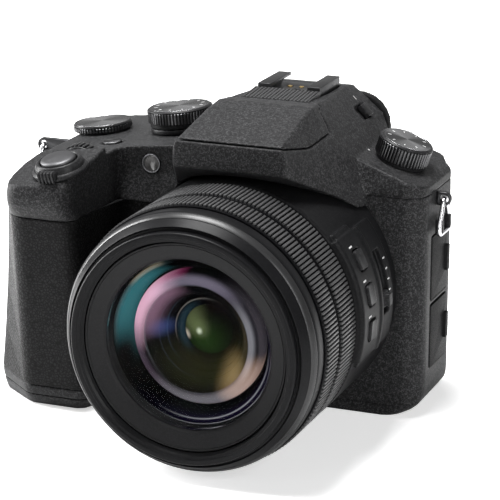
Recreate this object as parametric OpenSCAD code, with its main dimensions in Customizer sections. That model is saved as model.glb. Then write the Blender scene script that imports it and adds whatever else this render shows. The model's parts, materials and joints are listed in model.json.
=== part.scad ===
// Bridge camera. Lens along -Y, hand grip at -X, base on Z = 0, tripod socket at the origin.
// Millimetres throughout.

/* [Body shell] */
// lens axis to the right wall
body_right = 50; // [46:0.5:58]
// tripod axis to the front wall
body_front = 18; // [14:0.5:22]
// tripod axis to the joint of front and rear case
case_split = 15; // [12:0.5:18]
// rear case depth behind that joint
rear_depth = 7; // [5:0.5:10]
// wall thickness of the mouldings
wall = 2.5; // [1.5:0.1:3]
// base cover height under the body
base_t = 4; // [3:0.5:6]
// height of the joint under the top cover
seam_z = 74; // [70:0.5:78]
// front right corner radius, seen from above
corner_r = 7; // [3:0.5:10]
// bottom right corner radius, seen from the front
foot_r = 9; // [3:0.5:12]
// gap left between parts that move past each other
clear = 0.3; // [0.2:0.05:0.5]

/* [Grip] */
// tripod axis to the left wall
grip_left = 87; // [82:0.5:95]
// tripod axis to the front of the grip at the rubber's top
grip_front = 60; // [54:0.5:66]
// tripod axis to the inner face of the grip
grip_inner = 50.5; // [49.5:0.5:54]
// how far the recessed pad stands in front of the tripod axis
pad_front = 24; // [22:0.5:28]
// height of the grip's foot, below the rubber
grip_foot = 7.6; // [6:0.2:10]
// height of the rubber's upper edge
grip_seam = 67; // [64:0.5:69]
// outward flare of the grip's left wall at its foot
flare = 4.6; // [2:0.2:6]
// rubber thickness
rubber_t = 1.5; // [1:0.1:2]
// width of the battery
battery_x = 19.5; // [17:0.5:20]
// depth of the battery
battery_y = 36; // [30:0.5:38]
// height of the battery
battery_z = 53; // [45:0.5:56]

/* [Top] */
// height of the left deck above the rubber, at the mode dial
deck_h = 18.5; // [16:0.5:21]
// outward slope of the left deck
deck_tilt = 6; // [3:0.5:8]
// height of the right shoulder beside the hump
shoulder_z = 85.3; // [83:0.5:87]
// outward slope of the right shoulder
shoulder_tilt = 18; // [12:0.5:20]
// half width of the flash housing front
hump_half = 18.4; // [16:0.2:20]
// reach of the flash housing in front of the tripod axis
hump_front = 58; // [54:0.5:60]
// height of the hot shoe floor above the lens barrel
shoe_up = 16.8; // [16:0.1:18]
// distance between the hot shoe rails
shoe_w = 18.7; // [18.6:0.05:18.9]
// clear height under the hot shoe lips
shoe_h = 2.1; // [2:0.05:2.3]
// gap between the hot shoe lips
shoe_lip_w = 12.7; // [12.5:0.05:13]
// hot shoe length
shoe_l = 19; // [18:0.5:21]

/* [Lens] */
// gap between the barrel and the base plane
lens_lift = 0.6; // [0.6:0.2:4]
// fixed barrel length in front of the body
barrel_l = 38; // [36:0.5:42]
// zoom ring length
zoom_ring_l = 14; // [10:0.5:16]
// focus ring length
focus_ring_l = 12; // [8:0.5:14]
// rib height of the ring knurls
rib_h = 0.7; // [0.4:0.1:1]
// number of ribs round each ring
rib_n = 120; // [90:2:140]
// inner barrel wall
tube_wall = 3; // [2:0.1:3.4]
// thickness of the fixed barrel and of both rings round the inner barrel
ring_wall = 3.5; // [3:0.1:3.8]
// rear tube radius, inside the body
rear_tube_r = 30; // [27:0.5:31]
// filter thread radius
filter_r = 33.5; // [33:0.25:33.75]
// filter thread length
thread_l = 2; // [1.6:0.1:2]
// wall of the filter ring behind its thread
rim_wall = 2; // [1.6:0.1:2.4]
// front ring length from the focus ring to the tip
bezel_l = 12; // [10:0.5:14]
// width of the sloped ring between the filter thread and the front glass
slope_w = 6.9; // [6:0.1:9]
// front glass surface radius
glass_dome = 140; // [100:1:200]
// depth of the front glass behind the tip
glass_in = 2.8; // [2.6:0.1:3.4]
// height of the side control panel on the barrel
panel_h = 1.8; // [1.2:0.1:2.4]
// travel of the zoom lens group
zoom_travel = 20; // [10:1:24]
// half length of a lens button
fn_r = 3.2; // [2.4:0.1:3.4]
// lens button height above the panel
fn_h = 0.7; // [0.4:0.1:1]

/* [Controls] */
// shutter button radius
shutter_r = 5.7; // [5:0.1:6]
// shutter button travel
shutter_stroke = 1; // [0.6:0.1:1.2]
// zoom lever ring radius
lever_r = 9; // [8.5:0.1:9.6]
// front dial radius
front_dial_r = 8; // [7:0.1:8.6]
// front dial width
front_dial_w = 5; // [4:0.2:6]
// rear dial radius
rear_dial_r = 10; // [9:0.1:10.6]
// rear dial height
rear_dial_h = 3; // [2.4:0.1:4]
// mode dial radius
mode_dial_r = 11; // [10:0.1:11.4]
// mode dial height
mode_dial_h = 6.2; // [5:0.1:8]
// drive dial radius
drive_dial_r = 9; // [8:0.1:9.5]
// drive dial height
drive_dial_h = 7.6; // [6:0.1:9]
// radius of every dial spindle
spindle_r = 2.5; // [2:0.1:3]
// rear button cap radius
key_r = 3.2; // [2.6:0.1:3.6]
// height of the rear buttons above the case
key_h = 1; // [0.6:0.1:1.4]
// navigation pad radius
pad_r = 10; // [9:0.1:11]

/* [Monitor] */
// monitor width
monitor_w = 72; // [66:0.5:74]
// monitor height
monitor_h = 56; // [50:0.5:58]
// monitor thickness
monitor_t = 5.4; // [4.4:0.1:5.8]
// monitor hinge barrel radius
monitor_pin_r = 2; // [1.6:0.1:2.2]

/* [Eyepiece] */
// eyecup half width
eyecup_half = 25; // [22:0.5:26]
// eyecup top
eyecup_top = 98; // [96:0.5:99]
// eyecup depth
eyecup_d = 12; // [10:0.5:15]

/* [Fittings] */
// tripod screw radius
tripod_r = 3.175; // [3.1:0.005:3.25]
// tripod socket depth
tripod_l = 6; // [5:0.5:8]
// height of a strap ring between its wires
ring_h = 11; // [9:0.5:13]
// half width of a strap ring at its foot
ring_half = 5.5; // [4.5:0.25:6.5]
// strap ring wire radius
wire_r = 0.8; // [0.6:0.1:0.9]
// port door width
door_w = 15.4; // [13:0.2:15.6]
// upper port door height
door_a_h = 21; // [18:0.5:22]
// lower port door height
door_b_h = 21; // [18:0.5:22]

/* [Hidden] */
$fn = 96;
e = 0.01;
body_back = case_split + rear_depth;
split_x = -46;
deck_x = -39;
deck_y = -37.5;
glass_r = filter_r - slope_w;
tube_in = filter_r + rim_wall;
tube_r = tube_in + tube_wall;
barrel_r = tube_r + ring_wall;
panel_r = barrel_r + panel_h;
lens_z = barrel_r + lens_lift;
crown_z = lens_z + barrel_r;
shoe_z = crown_z + shoe_up;
deck_z = grip_seam + deck_h;
ring_r0 = barrel_r - rib_h - 0.1;
y_root = body_front;
y_barrel = y_root + barrel_l;
y_zoom = y_barrel + 0.5 + zoom_ring_l;
y_focus = y_zoom + 0.5 + focus_ring_l;
y_bezel = y_focus + 0.5;
y_tip = y_bezel + bezel_l;
tube_back = 5;
rubber_back = case_split - 9;
back_cut = 2.5;
rear_cut = 6;
foot_in = 1.8;

function deck_at(x) = deck_z + tan(deck_tilt) * (x - deck_x);
function shoulder_at(x) = shoulder_z - tan(shoulder_tilt) * (x - 25);

// Corner rounding for outlines given as [x, y, radius].
function unit2(v) = v / norm(v);
function corner(a, p, b, r, n) =
  let (u = unit2(a - p), w = unit2(b - p), half = acos(max(-1, min(1, u * w))) / 2)
  let (s = p + u * r / tan(half), q = p + w * r / tan(half), c = p + unit2(u + w) * r / sin(half))
  let (a0 = atan2(s[1] - c[1], s[0] - c[0]), a1 = atan2(q[1] - c[1], q[0] - c[0]))
  let (d = (a1 - a0 + 900) % 360 - 180)
  [for (i = [0:n]) c + r * [cos(a0 + d * i / n), sin(a0 + d * i / n)]];
function xy(p) = [p[0], p[1]];
function rounded(pts, n = 5) = [for (i = [0:len(pts) - 1])
  let (m = len(pts), a = xy(pts[(i + m - 1) % m]), p = pts[i], b = xy(pts[(i + 1) % m]))
  each (p[2] > 0 ? corner(a, xy(p), b, p[2], n) : [xy(p)])];

module outline(pts, n = 5) polygon(rounded(pts, n));
module along_y(y0, y1) translate([0, y1, 0]) rotate([90, 0, 0]) linear_extrude(y1 - y0) children();
module along_x(x0, x1) translate([x0, 0, 0]) rotate([90, 0, 90]) linear_extrude(x1 - x0) children();
module box(a, b) translate(a) cube(b - a);
module lens_axis() translate([0, 0, lens_z]) rotate([90, 0, 0]) children();
module lens_cyl(r, a0, a1) lens_axis() translate([0, 0, a0]) cylinder(r = r, h = a1 - a0);
module lens_turn(pts) lens_axis() rotate_extrude() polygon(pts);
module lens_sector(pts, from, to) lens_axis() rotate([0, 0, from]) rotate_extrude(angle = to - from) polygon(pts);

// Two triangles on the corners a, b below and c, d above, split along the shorter diagonal
function split_quad(p, a, b, c, d) = norm(p[a] - p[d]) < norm(p[b] - p[c])
  ? [[a, c, d], [a, d, b]] : [[a, c, b], [b, c, d]];

// Stack of outlines, each [height, points], skinned into one solid.
module stack(rings) {
  n = len(rings[0][1]);
  m = len(rings);
  pts = [for (r = rings) for (p = r[1]) [p[0], p[1], r[0]]];
  low = [for (i = [0:n - 1]) i];
  high = [for (i = [n - 1:-1:0]) n * (m - 1) + i];
  sides = [for (j = [0:m - 2]) for (i = [0:n - 1]) let (k = (i + 1) % n)
    each split_quad(pts, j * n + i, j * n + k, (j + 1) * n + i, (j + 1) * n + k)];
  polyhedron(points = pts, faces = concat([low, high], sides));
}

// Outer line of the grip seen from above, from the left wall round the front to the pad beside the lens:
// front line yf, left line xl, inset t, lens end xe, pad line py, back end.
function grip_line(yf, xl, t, xe, py, back) = [
  [-xl + t, back, 0], [-xl + t, -38, 7], [-74, -yf + t, 7], [-grip_inner - 2 - t, -yf + t, 5],
  [-grip_inner - t, -py + t, 5], [-xe, -py + t, 0]];
// The same line closed into an outline at the joint with the front case
function grip_plan(yf, xl, t, xe, py, back) = rounded(concat([[split_x - clear, back, 0]],
  grip_line(yf, xl, t, xe, py, back),
  [[-xe, -body_front - clear, 0], [split_x - clear, -body_front - clear, 0]]), 5);
// The band of rubber between that line and the line inset by the rubber's thickness
function band_plan(yf, xl, t) = let (o = rounded(concat([[-xl + t, rubber_back, 0]],
  grip_line(yf, xl, 0, 38, pad_front, rubber_back), [[-38, -pad_front + t, 0]]), 5), n = len(o))
  concat([for (i = [1:n - 2]) o[i]], inner_line(yf, xl, t));
function inner_line(yf, xl, t) = let (q = rounded(concat([[-xl + t + 1, rubber_back + 1, 0]],
  grip_line(yf, xl, t, 38, pad_front, rubber_back), [[-37, -pad_front + t + 1, 0]]), 5), n = len(q))
  [for (i = [n - 2:-1:1]) q[i]];

// Front reach of the grip at height z
function reach_at(z) = grip_front - 7.5 * (1 - (z - grip_foot) / (grip_seam - grip_foot));
function grip_levels() = [for (k = [0, 0.25, 0.5, 0.75, 1]) grip_foot + k * (grip_seam - grip_foot)];
// Left wall of the grip at height z, flaring toward the foot
function left_at(z) = grip_left - 0.6 + flare * pow(max(0, 1 - (z - grip_foot) / (grip_seam - grip_foot)), 1.7);
// Inset of the rounded foot at height z
function foot_inset(z) = z < grip_foot ? foot_in * pow(1 - z / grip_foot, 2.2) : 0;

// Hump cross sections, heights above the lens barrel:
// [distance in front, top x, top z, flank x, flank z, crease x, crease z, lower x, lower z]
hump_foot = seam_z - crown_z;
function hump_rows() = [
  [-body_back - 1.5, 12, 15, 22.5, 6.4, 25, -0.6, 25, hump_foot], [-14, 12.2, shoe_up, 21.5, 7.4, 26.5, -0.6, 27, hump_foot],
  [0, 13.5, shoe_up, 20.6, 8.6, 26.6, -0.2, 30, hump_foot - 4], [18, 15, 17.8, 20.8, 8.6, 26, 0.4, 34, -17.6],
  [26.6, 16, 18.6, 20.4, 9.4, 23.8, 3, 31, -12.6], [34, 16.4, 17.6, 19.8, 10.4, 22.4, 4.9, 28, -7.6],
  [hump_front, 17.2, 12.5, 17.8, 11.4, hump_half, 9.9, hump_half, 3.7]];
// Points from a toward b, and rows set between the given ones, so that the twisted flanks stay smooth
function spread(a, b, n) = [for (k = [0:n - 1]) a + (b - a) * k / n];
function finer(rows, n) = concat([for (i = [0:len(rows) - 2]) each spread(rows[i], rows[i + 1], n)],
  [rows[len(rows) - 1]]);
// Points from a toward b on a line that bows out a little
flank_bow = 0.1;
function bowed(a, b, n) = let (d = b - a, out = [d[1], -d[0]] / norm(d))
  [for (k = [0:n - 1]) let (t = k / n, q = a + d * t + out * flank_bow * 4 * t * (1 - t)) [q[0], q[1], 0]];
function hump_side(r) = concat(bowed([r[7], r[8]], [r[5], r[6]], 4), bowed([r[5], r[6]], [r[3], r[4]], 2),
  bowed([r[3], r[4]], [r[1], r[2]], 2), [[r[1], r[2], 0.8]]);
function hump_ring(r) = let (a = hump_side(r), n = len(a))
  rounded(concat(a, [for (i = [n - 1:-1:0]) [-a[i][0], a[i][1], a[i][2]]]), 3);
module over_lens() translate([0, 0, crown_z]) children();
module hump() over_lens() rotate([90, 0, 0]) stack([for (r = finer(hump_rows(), 3)) [r[0], hump_ring(r)]]);

// Frames of the tilted controls
shutter_at = [-58.6, -54.4, grip_seam + 14.9];
module shutter_frame() translate(shutter_at) rotate([0, -7, 0]) rotate([11, 0, 0]) children();
module deck_frame(x, y) translate([x, y, deck_at(x)]) rotate([0, -deck_tilt, 0]) children();
module mode_frame() deck_frame(-39, -3) children();
module rear_dial_frame() deck_frame(-68.6, -1.5) children();
module record_frame() deck_frame(-56.4, -20) children();
module drive_frame() translate([36.6, -1, shoulder_at(36.6)]) rotate([0, shoulder_tilt, 0]) children();
module switch_frame() translate([19.9, 11, crown_z + 9.2]) rotate([0, 47, 0]) children();
flash_up = 17.25;
front_dial_at = [-61, -34, deck_at(-61) + 2.8 - front_dial_r];
flash_pin = [0, -19.6, crown_z + flash_up];
flash_roll = 0.7;
lamp_at = [-40, -pad_front - 2.2, grip_seam + 12.5];
lamp_r = 3;

module block_profile() outline([[split_x, 0, 0], [body_right, 0, foot_r], [body_right, 120, 0], [split_x, 120, 0]], 8);
module front_plan() outline([[split_x, -body_front, 0], [body_right, -body_front, corner_r],
  [body_right, case_split - back_cut, 1.2], [body_right - 2.4, case_split, 0], [split_x, case_split, 0]], 8);
module rear_plan() outline([[-grip_left, case_split + e, 0], [body_right - 2.4, case_split + e, 0],
  [body_right - rear_cut, body_back, 3], [-grip_left + 4, body_back, 3]], 5);

// Hole of the right strap lug
lug_a = [body_right + 2.6, -3, seam_z - 2.8];

// Port doors: hinge line, height range. The upper one opens below the hanging strap ring.
door_y = -7;
door_x = body_right + 0.2;
door_t = 1.6;
door_gap = 2.2;
door_top = lug_a[2] - ring_h - wire_r - 0.4;
door_a = [door_top - door_a_h, door_top];
door_b = [door_a[0] - door_gap - door_b_h, door_a[0] - door_gap];
door_pin_r = 0.7;
module door_room(z) {
  box([body_right - 2.2, door_y, z[0] - clear], [body_right + 2, door_y + door_w + 2 * clear, z[1] + clear]);
  translate([door_x - door_pin_r, door_y, z[0] - clear])
    cylinder(r = door_pin_r + clear, h = z[1] - z[0] + 2 * clear);
}
module port_door(z) {
  difference() {
    box([door_x - door_t, door_y + clear, z[0]], [door_x, door_y + clear + door_w, z[1]]);
    box([door_x - door_t - e, door_y + 5, z[0] + 3], [door_x - 1, door_y + 13, z[1] - 3]);
  }
  box([door_x - e, door_y + door_w - 2.2, (z[0] + z[1]) / 2 - 4.2],
    [door_x + 1, door_y + clear + door_w, (z[0] + z[1]) / 2 + 4.2]);
  translate([door_x - door_pin_r, door_y, z[0]]) cylinder(r = door_pin_r, h = z[1] - z[0]);
}

// Monitor: hinge line at the right, frame hangs toward -X
mon_x = body_right - 8.5;
mon_y = body_back + 0.6;
mon_z = [10, 10 + monitor_h];
mon_edge = mon_x - monitor_pin_r - clear;
mon_floor = body_back + 1 - monitor_t - clear;

// Rear keys: position on the back wall
mon_left = mon_edge - monitor_w;
function key_places() = [[mon_left - 7.2, 66], [mon_left - 9.2, 50], [mon_left - 15.2, 20]];
nav_at = [mon_left - 27.2, 34];
thumb_z = nav_at[1] + pad_r + 1;
module rear_frame(p) translate([p[0], body_back, p[1]]) rotate([-90, 0, 0]) children();

// Battery bay in the grip
bat0 = [-79.2, -37, 8.4];
bat1 = bat0 + [battery_x, battery_y, battery_z];
bay_gap = 0.4;
hatch_x = [bat0[0] - 1, bat1[0] + 1];
hatch_y = [bat0[1] - 1.4, bat1[1] + 1.4];
hatch_t = 2.2;
hatch_up = 0.2;
hatch_pin_r = 1;
hatch_pin = [hatch_x[1] + hatch_pin_r, hatch_up + hatch_pin_r];

module front_case() color("#2b2b2d") difference() {
  intersection() {
    translate([0, 0, base_t]) linear_extrude(seam_z - base_t) front_plan();
    along_y(-body_front, case_split) block_profile();
  }
  box([split_x + wall, -body_front + wall, 0], [body_right - wall - 0.6, case_split + 1, 100]);
  lens_cyl(tube_r + 0.05, -case_split, body_front + 1);
  door_room(door_a);
  door_room(door_b);
}

module grip_case() color("#29292b") difference() {
  stack(concat([for (z = [base_t + e, grip_foot - 0.02])
      [z, grip_plan(reach_at(grip_foot) - foot_inset(z), left_at(grip_foot), foot_inset(z), 38, pad_front, case_split)]],
    [for (z = grip_levels())
      [z, grip_plan(reach_at(z), left_at(z), rubber_t + 0.1, 38, pad_front, case_split)]]));
  box([bat0[0] - bay_gap, bat0[1] - bay_gap, 0], [bat1[0] + bay_gap, bat1[1] + bay_gap, bat1[2] + bay_gap]);
  lens_cyl(barrel_r + 0.6, body_front - 1, y_tip);
}

module grip_rubber() color("#202021") difference() {
  stack([for (z = concat([grip_foot - 2], grip_levels(), [grip_seam + 2]))
    [z, band_plan(reach_at(z), left_at(z), rubber_t)]]);
  box([-100, -80, 0], [0, 40, grip_foot]);
  box([-100, -80, grip_seam], [0, 40, grip_seam + 10]);
  lens_cyl(barrel_r + 0.6, body_front - 1, y_tip);
}

module rear_case() color("#2b2b2d") difference() {
  intersection() {
    translate([0, 0, base_t]) linear_extrude(seam_z - base_t) rear_plan();
    along_y(case_split, body_back + 1) outline([[-grip_left, 0, 4], [body_right, 0, foot_r], [body_right, 120, 0],
      [-grip_left, 120, 0]], 6);
  }
  box([mon_edge - monitor_w - clear, mon_floor, mon_z[0] - clear], [mon_x, body_back + 5, mon_z[1] + clear]);
  translate([mon_x, mon_y, mon_z[0] - clear]) cylinder(r = monitor_pin_r + clear, h = monitor_h + 2 * clear);
  for (p = key_places()) rear_frame(p) translate([0, 0, -3]) cylinder(r = key_r + clear, h = 4);
  rear_frame(nav_at) translate([0, 0, -3]) cylinder(r = pad_r + clear, h = 4);
}

module thumb_rubber() color("#202021") difference() {
  translate([0, 0, thumb_z]) linear_extrude(25) outline([[-grip_left + 5.5, body_back, 0], [-66, body_back, 0],
    [-70, body_back + 4.5, 3], [-grip_left + 7, body_back + 3, 2]], 5);
  translate([-76, body_back + 16, 57]) rotate([0, 90, 0]) cylinder(r = 11.6, h = 60, center = true);
}

// Left deck and shutter head, skinned over the grip outline
// Rows: [height above the rubber, front line past the grip's, left wall past the grip's]
head_rows = [[-2, -1.6, 0.2], [2, 1.8, -1.8], [5, 3.8, -3.8], [8, 4.8, -6], [11, 4.6, -8.4], [13, 3.6, -10.2],
  [15, 1.8, -12.4], [17, -0.6, -15], [21, -7, -21]];
module head() stack([for (r = head_rows)
  [grip_seam + r[0], grip_plan(grip_front + r[1], grip_left + r[2], 0, 22, pad_front + 2, case_split)]]);
// Apron under the lamp window, leaning out to the joint with the rubber
apron_z = grip_seam + 9;
module apron() along_x(-54, -24) polygon([[-pad_front - 1, grip_seam - 1], [-pad_front - 4.8, grip_seam - 1],
  [-pad_front - 2.3, apron_z], [-pad_front - 1, apron_z]]);
// Sloped facet in front of the right shoulder
module shoulder_facet() translate([28, -body_front - clear, seam_z + 0.4]) rotate([73.8, 0, -3.1])
  translate([-6, -40, 0]) cube([60, 80, 30]);

module top_cover() color("#2c2c2e") difference() {
  union() {
    intersection() {
      union() {
        difference() {
          translate([0, 0, seam_z]) linear_extrude(20) outline([[split_x - 3, -body_front - clear, 0],
            [body_right, -body_front - clear, corner_r], [body_right, case_split - back_cut, 1.2],
            [body_right - 2.4, case_split, 0], [body_right - rear_cut, body_back, 3],
            [split_x - 3, body_back, 0]], 6);
          shoulder_facet();
        }
        head();
        apron();
        translate([0, 0, seam_z]) linear_extrude(20) outline([[-grip_left + 5, case_split - 2, 0],
          [split_x, case_split - 2, 0], [split_x, body_back, 0], [-grip_left + 7, body_back, 3]], 5);
      }
      union() {
        along_y(deck_y, body_back) outline([[-100, grip_seam, 0], [body_right + 1, grip_seam, 0],
          [body_right + 1, shoulder_at(body_right), 4], [25, shoulder_z, 0], [-18, deck_at(-18), 0],
          [-100, deck_at(-100), 0]], 6);
        intersection() {
          box([-100, -80, grip_seam], [-20, deck_y + 1, 110]);
          shutter_frame() translate([-60, -60, -60]) cube([120, 120, 60]);
        }
      }
    }
    hump();
    shutter_frame() translate([0, 0, -2]) cylinder(r = shutter_r - 0.2, h = 4);
  }
  // joint with the front case, and room inside, open underneath
  box([-40, -body_front - clear, 0], [body_right + 1, body_back + 5, seam_z]);
  box([-44, -body_front + wall, seam_z - 10], [body_right - wall - 4, body_back - wall, seam_z + 1]);
  box([-80, -22, grip_seam - 1], [-48.5, 10, grip_seam + 6.5]);
  box([-14, -11, seam_z - 1], [14, body_back + 5, 94]);
  // lens barrel passes under the hump
  lens_cyl(barrel_r + 0.6, body_front, hump_front + 5);
  lens_cyl(tube_r + 0.6, -10, body_front + 1);
  // flash bay
  over_lens() along_x(-14.4, 14.4) polygon([[-hump_front + 2.4, 6.4], [-24, 6.4], [-21.8, 11.4], [-21.8, 25],
    [-hump_front + 2.4, 25]]);
  over_lens() along_x(-30, 30) polygon([[-hump_front - 1, 12.8 - clear], [-hump_front + 2.4, 11.9 - clear],
    [-41, 9.1 - clear], [-22.2 + clear, 9.7 - clear],
    [-21.9 + clear, flash_up - flash_roll - clear], [flash_pin[1], flash_up - flash_roll - clear], [flash_pin[1], 25],
    [-hump_front - 1, 25]]);
  translate(flash_pin) rotate([0, 90, 0]) cylinder(r = flash_roll + 0.2, h = 60, center = true);
  // seats for the controls
  shutter_frame() translate([0, 0, -9]) cylinder(r = 2.1, h = 20);
  mode_frame() translate([0, 0, -7]) cylinder(r = spindle_r + 0.1, h = 12);
  rear_dial_frame() translate([0, 0, -7]) cylinder(r = spindle_r + 0.1, h = 12);
  drive_frame() translate([0, 0, -5]) cylinder(r = spindle_r + 0.1, h = 10);
  record_frame() translate([0, 0, -2.4]) cylinder(r = key_r + clear, h = 5);
  record_frame() translate([0, 0, -6]) cylinder(r = 1.3, h = 5);
  box(front_dial_at - [front_dial_r + 0.5, front_dial_w / 2 + clear, front_dial_r + 0.5],
    front_dial_at + [front_dial_r + 0.5, front_dial_w / 2 + clear, front_dial_r + 3]);
  translate(front_dial_at) rotate([90, 0, 0]) cylinder(r = spindle_r - 0.4, h = front_dial_w + 7, center = true);
  switch_frame() box([-2.6, -4.4, -1.6], [2.6, 4.4, 4]);
  box([lug_b[0], lug_b[1] - lug_t / 2 - 0.05, lug_b[2] - lug_h / 2 - 0.05],
    [lug_seat, lug_b[1] + lug_t / 2 + 0.05, lug_b[2] + lug_h / 2 + 0.05]);
  // eyepiece wheel, lamp window and shoe
  translate([-27, 17, 80]) rotate([0, 90, 0]) cylinder(r = 4.3, h = 5.6, center = true);
  translate(lamp_at - [0, 2.2, 0]) rotate([-90, 0, 0]) cylinder(r = lamp_r + 0.1, h = 4.4);
  box([-shoe_w / 2 - 1.5, -6.2, shoe_z - 1], [shoe_w / 2 + 1.5, shoe_l - 5.8, shoe_z + 5]);
}

// Footprint of the whole camera, inset t at the grip and u at the right foot
function base_plan(t, u) = rounded(concat([[body_right - u, -body_front + t / 6, corner_r],
  [body_right - u, case_split - back_cut, 1.2], [body_right - 2.4 - u, case_split, 0],
  [body_right - rear_cut - u, body_back - t / 6, 3], [-grip_left + 4 + t, body_back - t / 6, 3]],
  grip_line(reach_at(grip_foot) - t, left_at(grip_foot), t, 40, pad_front, case_split - 4),
  [[-40, -body_front + t / 6, 0]]), 5);
function foot_curve(z) = foot_r - sqrt(max(0, foot_r * foot_r - (foot_r - z) * (foot_r - z)));

module base_cover() color("#2a2a2c") difference() {
  intersection() {
    stack([for (k = [-0.3, 0.15, 0.4, 0.7, 1.3]) let (z = k * base_t, q = max(0, z))
      [z, base_plan(foot_inset(q), foot_curve(q))]]);
    box([-100, -80, 0], [100, 80, base_t]);
  }
  translate([0, 0, -1]) cylinder(r = tripod_r + 2.5, h = 20);
  box([bat0[0] - bay_gap, bat0[1] - bay_gap, -1], [bat1[0] + bay_gap, bat1[1] + bay_gap, 20]);
  box([hatch_x[0] - clear, hatch_y[0] - clear, -1],
    [hatch_pin[0] + hatch_pin_r + clear, hatch_y[1] + clear, hatch_up + hatch_t + clear]);
}

module tripod_socket() color("#8a8a8c") difference() {
  union() {
    cylinder(r = tripod_r + 2.5, h = base_t);
    translate([0, 0, base_t]) cylinder(r = tripod_r + 1.6, h = tripod_l - base_t + 1);
    translate([0, 0, base_t]) cylinder(r = tripod_r + 4, h = 1);
  }
  translate([0, 0, -1]) cylinder(r = tripod_r, h = tripod_l + 1);
}

module chassis() color("#77787a") difference() {
  union() {
    box([split_x + wall + 0.1, tube_back, base_t + 4], [body_right - wall - 0.7, tube_back + 2, seam_z - 2]);
    for (x = [-36, 36]) for (z = [14, 62]) translate([x, tube_back + 4.6, z]) rotate([90, 0, 0])
      cylinder(r = 2.4, h = 3);
    box([-30, tube_back - 14, base_t], [30, tube_back + 2, base_t + 1.4]);
    box([-30, tube_back, base_t], [30, tube_back + 2, base_t + 6]);
  }
  for (x = [-36, 36]) for (z = [14, 62]) translate([x, tube_back + 6, z]) rotate([90, 0, 0])
    cylinder(r = 1, h = 10);
  translate([0, 0, 0]) cylinder(r = tripod_r + 4.2, h = 8);
  box([-10, tube_back - 1, lens_z - 4], [10, tube_back + 4, lens_z + 4]);
}

// Ridge between the panel's key strip and its slider strip
ridge_y = y_root + 20;
// Slot of the filter slider: start and width
nd_y = y_root + 12.5;
nd_w = 5.5;
module lens_tube() color("#2a2a2c") difference() {
  union() {
    lens_turn([[tube_r + 0.05, y_root + 0.05], [barrel_r, y_root + 0.05], [barrel_r, y_barrel - 0.5],
      [barrel_r - 0.5, y_barrel], [tube_r + 0.05, y_barrel]]);
    lens_sector([[tube_r + 1, y_root + 7.5], [panel_r - 1, y_root + 7.5], [panel_r - 0.2, y_root + 8.5],
      [panel_r - 0.2, ridge_y - 0.6], [panel_r + 0.6, ridge_y], [panel_r + 0.6, ridge_y + 1.6], [panel_r, ridge_y + 2.4],
      [panel_r, y_barrel - 1.4], [panel_r - 1, y_barrel - 0.4], [tube_r + 1, y_barrel - 0.4]], -16, 38);
    lens_sector([[tube_r + 1, ridge_y + 3], [panel_r - 0.6, ridge_y + 3], [panel_r - 0.6, y_barrel - 2.4],
      [tube_r + 1, y_barrel - 2.4]], -19, 41);
  }
  lens_sector([[barrel_r - 0.2, nd_y], [panel_r + 1, nd_y], [panel_r + 1, nd_y + nd_w], [barrel_r - 0.2, nd_y + nd_w]], -2, 25);
  for (t = fn_angles) fn_frame(t) translate([0, 0, -4.2]) linear_extrude(8) fn_outline(clear);
}
fn_angles = [26, 11, -4];
module fn_frame(t) translate([0, 9 - y_barrel, lens_z]) rotate([0, 90 - t, 0]) translate([0, 0, panel_r]) children();
// Key outline: longer round the barrel than along it, grown by g
module fn_outline(g) outline([[-fn_r - g, -fn_r + 0.6 - g, 1], [fn_r + g, -fn_r + 0.6 - g, 1],
  [fn_r + g, fn_r - 0.6 + g, 1], [-fn_r - g, fn_r - 0.6 + g, 1]], 4);

module inner_barrel() color("#3a3a3c") lens_turn([[rear_tube_r - tube_wall, -tube_back], [rear_tube_r, -tube_back],
  [rear_tube_r, body_front - wall - 2], [tube_r, body_front - wall - 2], [tube_r, y_focus + 0.3],
  [tube_in, y_focus + 0.3], [tube_in, body_front], [rear_tube_r - tube_wall, body_front]]);

module filter_ring() color("#1c1c1e") lens_turn([[filter_r - 0.4, y_bezel - 5], [tube_in - 0.1, y_bezel - 5],
  [tube_in - 0.1, y_bezel], [barrel_r - 1, y_bezel], [barrel_r - 1, y_bezel + 4.4], [barrel_r - 1.6, y_bezel + 5.4],
  [filter_r + 4.2, y_tip - 1.9], [filter_r + 4, y_tip - 2.9], [filter_r + 3, y_tip - 2.9], [filter_r + 3, y_tip - 0.3],
  [filter_r + 2.7, y_tip], [filter_r + 0.4, y_tip], [filter_r, y_tip - 0.4],
  [filter_r, y_tip - 0.4 - thread_l], [filter_r - 0.4, y_tip - 0.4 - thread_l]]);

module name_ring() color("#18181a") lens_turn([[glass_r - 1.6, y_bezel - 1.5], [filter_r - 0.5, y_bezel - 1.5],
  [filter_r - 0.5, y_tip - 4.2], [filter_r - 0.9, y_tip - 3.8], [filter_r - 0.9, y_tip - 2.6],
  [glass_r + 0.2, y_tip - 4.8], [glass_r + 0.2, y_bezel + 0.5], [glass_r - 1.6, y_bezel + 0.5]]);

module front_lens() color("#36414a") lens_turn(concat([[0, y_bezel + 0.6], [glass_r, y_bezel + 0.6]],
  [for (k = [10:-1:0]) let (t = asin(glass_r / glass_dome) * k / 10)
    [k == 0 ? 0 : glass_dome * sin(t), y_tip - glass_in - glass_dome * (1 - cos(t))]]));

zoom_y = y_bezel - 10.5;
module zoom_group() color("#46474a") union() {
  lens_turn([[20, zoom_y], [tube_in - clear, zoom_y], [tube_in - clear, zoom_y + 4.4], [24.4, zoom_y + 4.4],
    [24.4, zoom_y + 8], [21.3, zoom_y + 8], [21.3, zoom_y + 6], [20, zoom_y + 6]]);
  intersection() {
    lens_cyl(20.1, zoom_y + 1, zoom_y + 8);
    lens_axis() translate([0, 0, zoom_y + 7.2 - 60]) sphere(r = 60, $fn = 120);
  }
}

iris_y = y_barrel - 14;
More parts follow.
